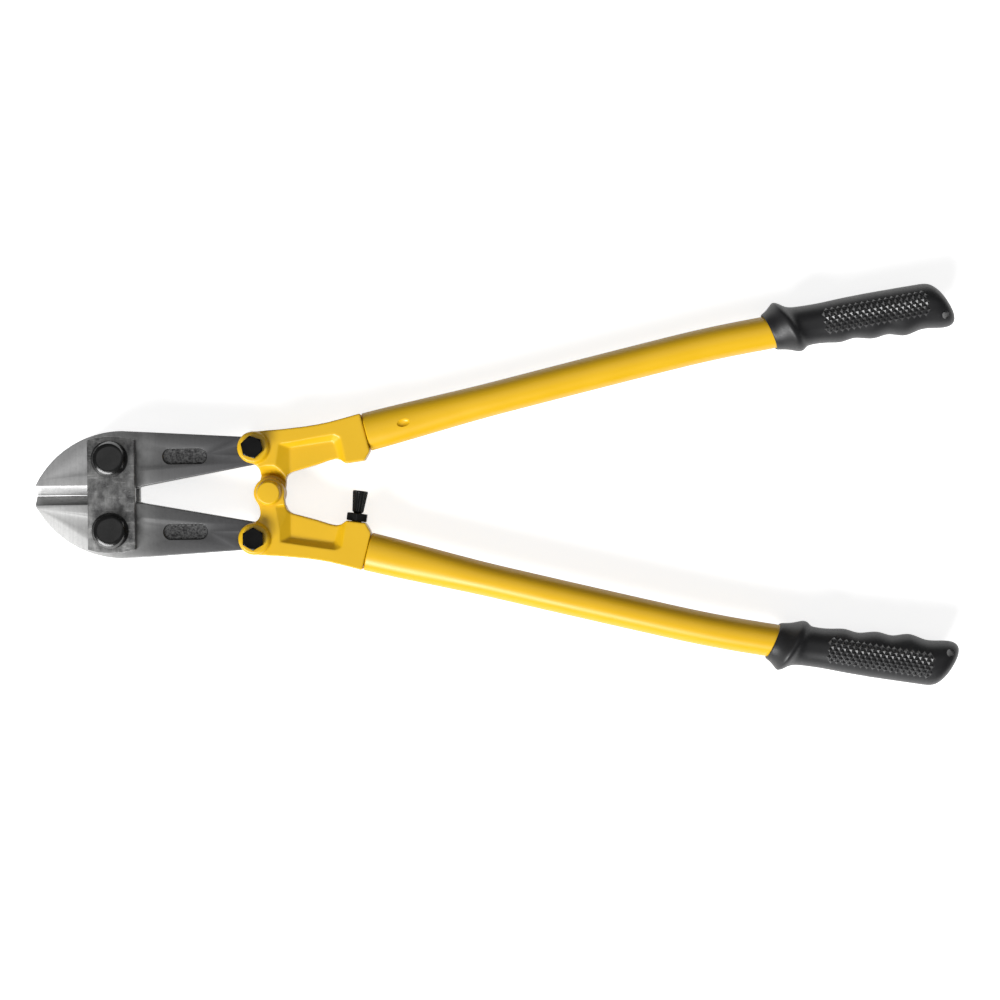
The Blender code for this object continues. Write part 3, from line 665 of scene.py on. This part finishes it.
def make_nut(name, node, across_flats, hole, origin, turn=0.0):
    bottom, top = heights(node)
    nut = hexagon_bar(name, across_flats, bottom, top, origin, turn)
    drill(nut, ORIGIN, hole, bottom - 1.0, top + 1.0, origin, 40)
    return smooth(round_edges(nut, 0.18, 2, 28.0))


def both_jaw_bolts():
    across = Vector((0.0, -2.0 * JAW_PIVOT.y, 0.0))
    bolt = make_jaw_bolt()
    washer = make_ring("upper_jaw_bolt_washer", "upper_jaw_washer", JAW_BORE, JAW_PIVOT)
    nut = make_nut("upper_jaw_bolt_nut", "upper_jaw_nut", JAW_NUT_FLATS, JAW_BORE, JAW_PIVOT)
    for piece, node, finish, slot in (
        (bolt, "jaw_bolt", BLACK, "black_steel"),
        (washer, "jaw_washer", ZINC, "zinc_washer"),
        (nut, "jaw_nut", BLACK, "black_steel"),
    ):
        other = slid_copy(piece, piece.name.replace("upper", "lower"), across)
        finished(piece, finish, slot, "link", f"upper_{node}")
        finished(other, finish, slot, "link", f"lower_{node}")


both_jaw_bolts()


# Yokes.

YOKE_HALF = 6.5
EAR_RADIUS = 8.0
EAR_HALF = 8.8
EAR_CHAMFER = 1.1
TANG_WIDE = 6.0
TANG_THIN = 3.5
TANG_LENGTH = 14.0
FORK_HALF = 4.8
FORK_HALF_WIDTH = 9.6
FORK_REACH = 20.0
OPEN_PIVOT_RADIUS = 4.8
YOKE_DRILL = 12.0
SKIN_SIZE = 0.42
SKIN_SOFTENING = 9
UPPER_HEX_TURN = 12.0
LAP_RADIUS = 7.7
LAP_SEAT = ((9.6, -0.15), (9.7, 2.6), (13.6, 6.2), (15.0, 7.5))
SHOULDER = (55.5, 7.0)
SHOULDER_HALF = 9.65
HEADINGS = (14.2, 13.4, 9.8)
PAD = (50.4, -7.8)
PAD_HALF = 4.8
STOP_LEAN = math.degrees(math.atan2(STOP_AXIS.x, STOP_AXIS.y))
EAR_SWEEP = (86.0, 266.0)
NECK_LEFT = ((1.6, -9.2), (2.8, -11.0), (3.1, -13.2), (2.4, -16.4))
LAP_SWEEP = (142.0, 376.0)
NECK_RIGHT = ((15.3, -17.6), (15.7, -15.2))
INNER_EDGE = ((16.6, -13.7), (18.6, -12.4), (25.1, -10.6), (31.1, -8.9), (37.0, -6.9), (40.0, -6.2),
              (42.6, -6.5))
OUTER_EDGE = ((49.0, 15.2), (43.0, 13.6), (37.0, 12.1), (31.1, 11.0), (25.0, 10.1), (19.1, 9.5), (13.2, 8.9),
              (7.0, 8.5))
RIM_DEPTH = 3.1
RIM_OVER = 1.5
RIM_FLOOR = ((17.8, -0.2), (38.8, 2.6), (39.9, 1.4), (42.2, -6.2), (42.2, -16.5), (17.8, -16.5))
RIM_SPREAD = ((-8.0, 2.9), (2.4, 5.4), (5.0, 4.8), (5.0, -1.1), (5.0, 0.0), (-11.0, 0.0))


def shoulder_corner(side):
    lean = math.radians(HEADINGS[0])
    reach = side * SHOULDER_HALF
    return (SHOULDER[0] - reach * math.sin(lean), SHOULDER[1] + reach * math.cos(lean))


def tang_outline():
    """The tongue that the tube is pressed onto."""
    lean = math.radians(HEADINGS[0])
    corners = []
    for along, across in ((-2.0, -1.0), (TANG_LENGTH, -1.0), (TANG_LENGTH, 1.0), (-2.0, 1.0)):
        x = SHOULDER[0] + along * math.cos(lean) - across * TANG_WIDE * math.sin(lean)
        y = SHOULDER[1] + along * math.sin(lean) + across * TANG_WIDE * math.cos(lean)
        corners.append((x, y))
    return corners


def yoke_outline():
    lean = math.radians(STOP_LEAN)
    along = (PAD_HALF * math.cos(lean), PAD_HALF * math.sin(lean))
    outline = arc((0.0, 0.0), EAR_RADIUS, *EAR_SWEEP, 26)
    outline += list(NECK_LEFT)
    outline += arc(LAP, LAP_RADIUS, *LAP_SWEEP, 32)
    outline += list(NECK_RIGHT)
    outline += list(INNER_EDGE)
    outline += [(PAD[0] - along[0], PAD[1] - along[1]), (PAD[0] + along[0], PAD[1] + along[1])]
    outline += [shoulder_corner(-1.0), shoulder_corner(1.0)]
    outline += list(OUTER_EDGE)
    return outline


def rim_tool(side):
    """The web's recess: sloping walls under the outer rim and before the pad, open to the inner side."""
    floor = side * (YOKE_HALF - RIM_DEPTH)
    over = side * (YOKE_HALF + RIM_OVER)
    tool = drawn("rim", RIM_FLOOR, *sorted((floor, over)), YOKE_PIVOT)
    start_edit(tool)
    for place, spread in zip(RIM_FLOOR, RIM_SPREAD):
        corner = Vector((YOKE_PIVOT.x + place[0] * MM, YOKE_PIVOT.y + place[1] * MM, MID + over * MM))
        pick("VERT", lambda vertex: (vertex.co - corner).length < 0.1 * MM)
        bpy.ops.transform.translate(value=(spread[0] * MM, spread[1] * MM, 0.0))
    end_edit()
    return tool


def cut_fork(yoke):
    drill(yoke, ORIGIN, ARM_END_RADIUS + GAP, -FORK_HALF, FORK_HALF, YOKE_PIVOT)
    left, side = -FORK_REACH, FORK_HALF_WIDTH
    slot_box = [(left, -side), (0.0, -side), (0.0, side), (left, side)]
    return combine(yoke, drawn("slot", slot_box, -FORK_HALF, FORK_HALF, YOKE_PIVOT))


def make_yoke():
    yoke = drawn("upper_yoke_forging", yoke_outline(), -YOKE_HALF, YOKE_HALF, YOKE_PIVOT)
    edge = EAR_HALF - EAR_CHAMFER
    rim = EAR_RADIUS - EAR_CHAMFER
    profile = ((rim, -EAR_HALF), (EAR_RADIUS, -edge), (EAR_RADIUS, edge), (rim, EAR_HALF))
    combine(yoke, turned("ear", profile, YOKE_PIVOT, 64), "UNION")
    combine(yoke, drawn("tang", tang_outline(), -TANG_THIN, TANG_THIN, YOKE_PIVOT), "UNION")
    cut_fork(yoke)
    seat = Vector((YOKE_PIVOT.x + LAP[0] * MM, YOKE_PIVOT.y + LAP[1] * MM, MID))
    combine(yoke, turned("lap_seat", LAP_SEAT, seat, 64))
    combine(yoke, rim_tool(1.0))
    combine(yoke, rim_tool(-1.0))
    drill(yoke, ORIGIN, M6_BORE, -YOKE_DRILL, YOKE_DRILL, YOKE_PIVOT, 40)
    drill(yoke, LAP, OPEN_PIVOT_RADIUS, -YOKE_DRILL, YOKE_DRILL, YOKE_PIVOT, 40)
    take(yoke)
    step = yoke.modifiers.new("skin", "REMESH")
    step.mode = "VOXEL"
    step.voxel_size = SKIN_SIZE * MM
    bpy.ops.object.modifier_apply(modifier=step.name)
    step = yoke.modifiers.new("soften", "SMOOTH")
    step.factor = 0.5
    step.iterations = SKIN_SOFTENING
    bpy.ops.object.modifier_apply(modifier=step.name)
    bpy.ops.object.shade_smooth()
    return yoke


upper_yoke = make_yoke()
lower_yoke = turned_over(upper_yoke, "lower_yoke_forging")
finished(upper_yoke, ENAMEL, "yellow_paint", "upper_handle", "upper_yoke")
finished(lower_yoke, ENAMEL, "yellow_paint", "lower_handle", "lower_yoke")


def make_yoke_bolts():
    """Both heads are on the front; the upper hexagon stands turned a little."""
    seat = EAR_HALF + GAP
    low, high = heights("upper_yoke_bolt")
    for half, side, turn in (("upper", 1.0, UPPER_HEX_TURN), ("lower", -1.0, 0.0)):
        origin = Vector((YOKE_PIVOT.x, side * YOKE_PIVOT.y, MID))
        head = hexagon_bar(f"{half}_yoke_bolt_head", M6_FLATS, seat, high, origin, 30.0)
        round_edges(head, 0.2, 3, 20.0)
        shank = thread("shank", M6_SHANK, low, seat + 1.0, origin, M6_PITCH)
        smooth(combine(head, shank, "UNION"))
        nut = make_nut(f"{half}_yoke_bolt_nut", f"{half}_yoke_nut", M6_FLATS, M6_BORE, origin, 30.0)
        for piece, node in ((head, "yoke_bolt"), (nut, "yoke_nut")):
            take(piece)
            bpy.ops.transform.rotate(value=-math.radians(turn), orient_axis="Z", center_override=origin)
            settle()
            finished(piece, DEEP_BLACK, "black_steel", f"{half}_handle", f"{half}_{node}")


make_yoke_bolts()


def make_centre_pin():
    """A low painted head on the front lap, and a washer and nut on the rear one."""
    low, high = heights("centre_pin")
    seat = YOKE_HALF + GAP
    profile = ((6.3, seat), (6.3, seat + 1.0), (5.5, high - 0.3), (5.1, high))
    head = turned("centre_pin_head", profile, PIN_CENTRE, 80)
    round_edges(head, 0.4, 4, 12.0)
    shank = thread("shank", M6_SHANK, low, seat + 1.0, PIN_CENTRE, M6_PITCH)
    finished(smooth(combine(head, shank, "UNION")), ENAMEL, "yellow_paint", "lower_handle", "centre_pin")
    washer = make_ring("centre_pin_ring", "centre_pin_washer", M6_BORE, PIN_CENTRE)
    finished(washer, ZINC, "zinc_washer", "lower_handle", "centre_pin_washer")
    nut = make_nut("centre_pin_hexagon", "centre_pin_nut", M6_FLATS, M6_BORE, PIN_CENTRE)
    finished(nut, BLACK, "black_steel", "lower_handle", "centre_pin_nut")


make_centre_pin()


# Tubes. Each is drawn straight along X and then bent along the handle's centreline.

TUBE_RADIUS = 8.3
TUBE_WALL = 1.5
TUBE_THIN = 7.0
FLARE = 70.0
STRAIGHT_END = 150.0
BEND_END = 205.0
MOUTH = 207.2
TUBE_END = MOUTH + 77.0


def smooth_step(value):
    value = min(max(value, 0.0), 1.0)
    return value * value * (3.0 - 2.0 * value)


def heading(place):
    first, second, last = HEADINGS
    if place <= STRAIGHT_END:
        return math.radians(first + (second - first) * max(place, 0.0) / STRAIGHT_END)
    bend = smooth_step((place - STRAIGHT_END) / (BEND_END - STRAIGHT_END))
    return math.radians(second + (last - second) * bend)


def centreline(place):
    """The handle's centreline, in metres, at a distance in millimetres from the shoulder."""
    x, y = SHOULDER
    steps = max(1, round(place))
    length = place / steps
    for step in range(steps):
        direction = heading((step + 0.5) * length)
        x += length * math.cos(direction)
        y += length * math.sin(direction)
    return Vector((YOKE_PIVOT.x + x * MM, YOKE_PIVOT.y + y * MM, MID))


def bent(piece):
    """Moves each ring of a straight piece onto the centreline."""
    places = {}
    for vertex in piece.data.vertices:
        place = round(vertex.co.x / MM, 3)
        if place not in places:
            places[place] = (centreline(place), heading(place))
        centre, direction = places[place]
        across = vertex.co.y
        vertex.co.x = centre.x - across * math.sin(direction)
        vertex.co.y = centre.y + across * math.cos(direction)
        vertex.co.z += MID
    return piece


def tube_halves(place):
    flare = smooth_step(place / FLARE)
    wide = SHOULDER_HALF + (TUBE_RADIUS - SHOULDER_HALF) * flare
    thin = TUBE_THIN + (TUBE_RADIUS - TUBE_THIN) * flare
    return wide, thin


def next_ring(centre_before, centre, ratio, slant=0.0):
    """Extrudes the selected ring to a new centre, resizes it and turns it by a slant in degrees."""
    extrude(*(centre - centre_before))
    bpy.ops.transform.resize(value=ratio, center_override=centre)
    if slant:
        bpy.ops.transform.rotate(value=-math.radians(slant), orient_axis="Z", center_override=centre)


def make_tube():
    """Out along the skin, over the far end, and back down the bore."""
    skin = [0.3 + 3.0 * step for step in range(24)]
    skin += [76.0 + 12.0 * step for step in range(7)]
    skin += [154.0 + 5.0 * step for step in range(11)] + [MOUTH, TUBE_END]
    rings = [(place, *tube_halves(place)) for place in skin]
    bore = [(place, wide - TUBE_WALL, thin - TUBE_WALL) for place, wide, thin in reversed(rings[::2])]
    first_wide, first_thin = rings[0][1:]
    rings = [(0.3, first_wide - 0.5, first_thin - 0.5)] + [(0.8, first_wide, first_thin)] + rings[1:] + bore
    rings[-1] = (0.3, first_wide - TUBE_WALL, first_thin - TUBE_WALL)
    clear_selection()
    place, wide, thin = rings[0]
    bpy.ops.mesh.primitive_circle_add(
        vertices=56, radius=MM, location=(place * MM, 0.0, 0.0), rotation=(0.0, math.pi / 2.0, 0.0)
    )
    tube = settle("upper_handle_tube")
    start_edit(tube)
    bpy.ops.transform.resize(value=(1.0, wide, thin), center_override=(place * MM, 0.0, 0.0))
    for next_place, next_wide, next_thin in rings[1:]:
        ratio = (1.0, next_wide / wide, next_thin / thin)
        next_ring(Vector((place, 0.0, 0.0)) * MM, Vector((next_place, 0.0, 0.0)) * MM, ratio)
        place, wide, thin = next_place, next_wide, next_thin
    pick("VERT", lambda vertex: vertex.is_boundary)
    bpy.ops.mesh.bridge_edge_loops()
    face_outwards()
    end_edit()
    press_dimple(tube)
    return smooth(bent(tube), 35.0)


DIMPLE = (19.6, -0.6)
DIMPLE_SIZE = (3.5, 2.2, 1.9)
DIMPLE_DEPTH = 1.25


def press_dimple(tube):
    """A punch mark on one face, which fixes the tube to the tang."""
    _, thin = tube_halves(DIMPLE[0])
    clear_selection()
    height = thin + DIMPLE_SIZE[2] - DIMPLE_DEPTH
    place = Vector((*DIMPLE, height)) * MM
    bpy.ops.mesh.primitive_uv_sphere_add(segments=40, ring_count=20, radius=MM, location=place)
    punch = bpy.context.object
    punch.scale = DIMPLE_SIZE
    return combine(tube, settle("punch"))


upper_tube = make_tube()
lower_tube = turned_over(upper_tube, "lower_handle_tube")
finished(upper_tube, ENAMEL, "yellow_paint", "upper_handle", "upper_tube")
finished(lower_tube, ENAMEL, "yellow_paint", "lower_handle", "lower_tube")


# Grips. The sections go from the mouth: place, outer side, inner side, half thickness, slant in degrees.

GRIP_SECTIONS = (
    (0.6, 9.3, -9.3, 9.4, 15.0),
    (2.0, 9.9, -9.6, 9.8, 16.5),
    (5.0, 11.3, -10.2, 11.0, 18.0),
    (8.6, 14.1, -12.0, 13.4, 19.0),
    (9.6, 14.4, -12.3, 13.7, 19.0),
    (11.4, 13.8, -12.1, 13.3, 19.5),
    (13.2, 11.9, -11.1, 11.8, 19.0),
    (15.1, 10.5, -10.2, 10.9, 17.0),
    (18.5, 10.1, -10.0, 10.6, 9.0),
    (25.0, 9.9, -10.0, 10.6, 0.0),
    (30.0, 10.0, -10.7, 10.8, 0.0),
    (34.8, 10.2, -11.7, 10.9, 0.0),
    (38.6, 10.3, -11.0, 11.0, 0.0),
    (42.1, 10.4, -10.4, 11.0, 0.0),
    (46.6, 10.4, -11.6, 11.0, 0.0),
    (51.3, 10.5, -12.9, 11.0, 0.0),
    (55.4, 10.4, -12.2, 11.0, 0.0),
    (59.1, 10.4, -11.7, 11.0, 0.0),
    (63.0, 10.3, -13.0, 11.0, 0.0),
    (67.3, 10.3, -14.4, 11.0, 0.0),
    (71.6, 10.2, -13.4, 11.0, 0.0),
    (76.0, 10.1, -12.2, 11.0, 1.0),
    (80.6, 10.1, -12.9, 10.9, 4.0),
    (85.0, 9.5, -13.9, 10.6, 9.0),
    (88.3, 7.4, -13.5, 9.3, 13.5),
    (90.5, 4.3, -11.6, 7.0, 16.0),
    (91.6, 0.4, -8.4, 4.0, 19.0),
    (91.8, -2.6, -5.9, 1.4, 20.0),
)
GRIP_BORE = 8.55
HANGING_HOLE = (87.2, -8.0)
HANGING_HOLE_RADIUS = 1.9


def make_grip():
    """A moulded sleeve: its bore first, then its lip, and out over the collar and ridges to the end."""
    direction = heading(MOUTH)
    rings = [(77.3, GRIP_BORE, -GRIP_BORE, GRIP_BORE, 0.0), (70.0, GRIP_BORE, -GRIP_BORE, GRIP_BORE, 0.0)]
    rings += [(12.0, GRIP_BORE, -GRIP_BORE, GRIP_BORE, 0.0), (2.0, GRIP_BORE, -GRIP_BORE, GRIP_BORE, 12.0)]
    rings += [(0.4, 8.7, -8.7, 8.7, 13.5)] + list(GRIP_SECTIONS)
    clear_selection()
    place, outer, inner, thick, slant = rings[0]
    centre = Vector((place, (outer + inner) / 2.0, 0.0)) * MM
    bpy.ops.mesh.primitive_circle_add(
        vertices=32, radius=MM, fill_type="NGON", location=centre, rotation=(0.0, math.pi / 2.0, 0.0)
    )
    grip = settle("upper_grip_moulding")
    start_edit(grip)
    half = (outer - inner) / 2.0
    bpy.ops.transform.resize(value=(1.0, half, thick), center_override=centre)
    for next_place, next_outer, next_inner, next_thick, next_slant in rings[1:]:
        next_half = (next_outer - next_inner) / 2.0 / math.cos(math.radians(next_slant))
        next_centre = Vector((next_place, (next_outer + next_inner) / 2.0, 0.0)) * MM
        across = next_half / half
        next_ring(centre, next_centre, (across, across, next_thick / thick), next_slant - slant)
        centre, half, thick, slant = next_centre, next_half, next_thick, next_slant
    face_outwards()
    end_edit()
    take(grip)
    step = grip.modifiers.new("round", "SUBSURF")
    step.levels = 2
    step.render_levels = 2
    bpy.ops.object.modifier_apply(modifier=step.name)
    return grip, direction


KNURL_CENTRE = (53.2, -0.3)
KNURL_HALF_LENGTH = 25.6
KNURL_HALF_WIDTH = 6.9
KNURL_CORNER = 2.6
KNURL_PITCH = (3.0, 3.5)
KNURL_START_HEIGHT = 14.0


def grip_knurl(grip, side):
    """A patch of small pyramids moulded on one face of the grip."""
    centre = Vector((*KNURL_CENTRE, side * KNURL_START_HEIGHT)) * MM
    clear_selection()
    count = 28
    bpy.ops.mesh.primitive_grid_add(
        x_subdivisions=count, y_subdivisions=count, size=count * MM, location=centre,
        rotation=(0.0, 0.0, math.pi / 4.0),
    )
    patch = settle("upper_grip_knurl")
    diagonal = math.sqrt(2.0)
    start_edit(patch)
    stretch = (KNURL_PITCH[0] / diagonal, KNURL_PITCH[1] / diagonal, 1.0)
    bpy.ops.transform.resize(value=stretch, center_override=centre)

    def outside(face):
        x, y, _ = (face.calc_center_median() - centre) / MM
        past_end = abs(x) - KNURL_HALF_LENGTH
        past_side = abs(y) - KNURL_HALF_WIDTH
        return past_end > 0.0 or past_side > 0.0 or past_end + past_side > -KNURL_CORNER

    pick("FACE", outside)
    bpy.ops.mesh.delete(type="FACE")
    end_edit()
    take(patch)
    step = patch.modifiers.new("press", "SHRINKWRAP")
    step.wrap_method = "PROJECT"
    step.use_project_z = True
    step.use_negative_direction = True
    step.use_positive_direction = True
    step.target = grip
    bpy.ops.object.modifier_apply(modifier=step.name)
    start_edit(patch)
    bpy.ops.transform.translate(value=(0.0, 0.0, side * 0.05 * MM))
    extrude(0.0, 0.0, -side * 0.6 * MM)
    face_outwards()
    pick("FACE", lambda face: side * face.normal.z > 0.5)
    bpy.ops.mesh.inset(thickness=0.22 * MM, depth=0.0, use_individual=True)
    bpy.ops.mesh.poke(offset=0.75 * MM)
    end_edit()
    return patch


def seat_on_handle(piece, direction):
    """Turns and carries a straight piece to the grip's place on the handle."""
    take(piece)
    bpy.ops.transform.rotate(value=-direction, orient_axis="Z", center_override=(0.0, 0.0, 0.0))
    bpy.ops.transform.translate(value=centreline(MOUTH))
    bpy.ops.object.transform_apply(location=True, rotation=True, scale=True)
    return piece


def make_grips():
    grip, direction = make_grip()
    front = grip_knurl(grip, 1.0)
    rear = grip_knurl(grip, -1.0)
    take(front)
    rear.select_set(True)
    bpy.ops.object.join()
    clear_selection()
    hole_place = (HANGING_HOLE[0] * MM, HANGING_HOLE[1] * MM, 0.0)
    radius = HANGING_HOLE_RADIUS * MM
    bpy.ops.mesh.primitive_cylinder_add(vertices=32, radius=radius, depth=40.0 * MM, location=hole_place)
    combine(grip, settle("hole"))
    smooth(grip, 50.0)
    for piece, rubber, node in ((grip, RUBBER, "grip"), (front, KNURL_RUBBER, None)):
        seat_on_handle(piece, direction)
        other = turned_over(piece, piece.name.replace("upper", "lower"))
        for half, each in (("upper", piece), ("lower", other)):
            nodes = [f"{half}_{node}"] if node else []
            finished(each, rubber, "black_rubber", f"{half}_handle", *nodes)


make_grips()


# Stop screw and lock nut, drawn upright on the pad and then laid along the screw's axis.


def lay_on_pad(piece):
    """Turns an upright piece from Z to the screw's axis, from the pad on the lower yoke."""
    pad = Vector((YOKE_PIVOT.x + PAD[0] * MM, -(YOKE_PIVOT.y + PAD[1] * MM), MID))
    take(piece)
    bpy.ops.transform.rotate(value=math.pi / 2.0, orient_axis="X", center_override=TOOL_AXIS)
    bpy.ops.transform.rotate(value=math.radians(STOP_LEAN), orient_axis="Z", center_override=TOOL_AXIS)
    bpy.ops.transform.translate(value=pad - TOOL_AXIS)
    bpy.ops.object.transform_apply(location=True, rotation=True, scale=True)
    return piece


def make_stop():
    origin = Vector((0.0, 0.0, 0.0))
    nut = hexagon_bar("stop_screw_lock_nut", 10.0, 0.3, 4.3, origin, 30.0)
    drill(nut, (0.0, 0.0), 2.8, -1.0, 6.0, origin, 40)
    smooth(round_edges(nut, 0.2, 2, 28.0))
    finished(lay_on_pad(nut), BLACK, "black_steel", "lower_handle", "stop_lock_nut")
    head = turned("stop_screw_fluted", ((2.75, 4.8), (2.85, 5.2), (3.85, 15.1), (3.55, 15.6)), origin, 20)
    start_edit(head)
    pick("FACE", lambda face: abs(face.normal.z) < 0.3 and face.calc_area() > 4.0 * MM * MM)
    bpy.ops.mesh.inset(thickness=0.16 * MM, depth=-0.32 * MM, use_individual=True)
    pick("FACE", lambda face: face.normal.z > 0.9)
    bpy.ops.mesh.inset(thickness=0.8 * MM, depth=0.0)
    bpy.ops.mesh.inset(thickness=0.3 * MM, depth=-0.3 * MM)
    end_edit()
    round_edges(head, 0.06, 2, 25.0)
    shank = thread("shank", 2.5, -8.0, 5.4, origin, 0.8)
    screw = smooth(combine(head, shank, "UNION"))
    finished(lay_on_pad(screw), BLACK, "black_steel", "stop_screw", "stop_screw")


make_stop()


# Floor, light and camera.

CAMERA_DISTANCE = 1.0
CAMERA_ROLL = -0.75
SENSOR_WIDTH = 36.0
PICTURE_WIDTH = 0.5
FLOOR_GLOW = 0.72


def make_floor():
    """A pale floor that glows a little and doesn't fill the tool's dark sides with light."""
    clear_selection()
    bpy.ops.mesh.primitive_plane_add(size=60.0, location=(0.0, 0.0, -0.0006))
    floor = settle("floor")
    recipe = Recipe("pale_floor", 0.0, 0.9)
    tone = recipe.noise(3.0, 2.0)
    colour = recipe.blend(tone, (0.93, 0.93, 0.93), (0.95, 0.95, 0.95))
    recipe.shader.inputs["Emission Color"].default_value = (1.0, 1.0, 1.0, 1.0)
    recipe.shader.inputs["Emission Strength"].default_value = FLOOR_GLOW
    floor.data.materials.append(recipe.finish(colour))
    floor.visible_diffuse = False


def add_light(name, place, target, size, power):
    clear_selection()
    bpy.ops.object.light_add(type="AREA", location=place)
    lamp = bpy.context.object
    lamp.name = name
    lamp.data.shape = "RECTANGLE"
    lamp.data.size, lamp.data.size_y = size
    lamp.data.energy = power
    lamp.rotation_euler = (Vector(target) - Vector(place)).to_track_quat("-Z", "Y").to_euler()


def make_light():
    world = bpy.data.worlds.new("studio")
    bpy.context.scene.world = world
    world.use_nodes = True
    background = world.node_tree.nodes["Background"]
    background.inputs["Color"].default_value = (1.0, 1.0, 1.0, 1.0)
    background.inputs["Strength"].default_value = 0.12
    add_light("key", (-1.6, -2.6, 2.35), (0.0, 0.0, 0.0), (3.0, 1.2), 202.0)
    add_light("top", (0.2, 0.4, 2.4), (0.0, 0.0, 0.0), (2.0, 2.0), 8.0)
    bpy.context.scene.view_settings.view_transform = "Standard"


def make_camera():
    """Straight above the tool, with the picture turned a little."""
    clear_selection()
    place = (1.75 * MM, -5.0 * MM, MID + CAMERA_DISTANCE)
    bpy.ops.object.camera_add(location=place, rotation=(0.0, 0.0, math.radians(CAMERA_ROLL)))
    camera = bpy.context.object
    camera.name = "camera"
    camera.data.sensor_width = SENSOR_WIDTH
    camera.data.lens = SENSOR_WIDTH * CAMERA_DISTANCE / PICTURE_WIDTH
    camera.data.clip_start = 0.05
    bpy.context.scene.camera = camera


make_floor()
make_light()
make_camera()
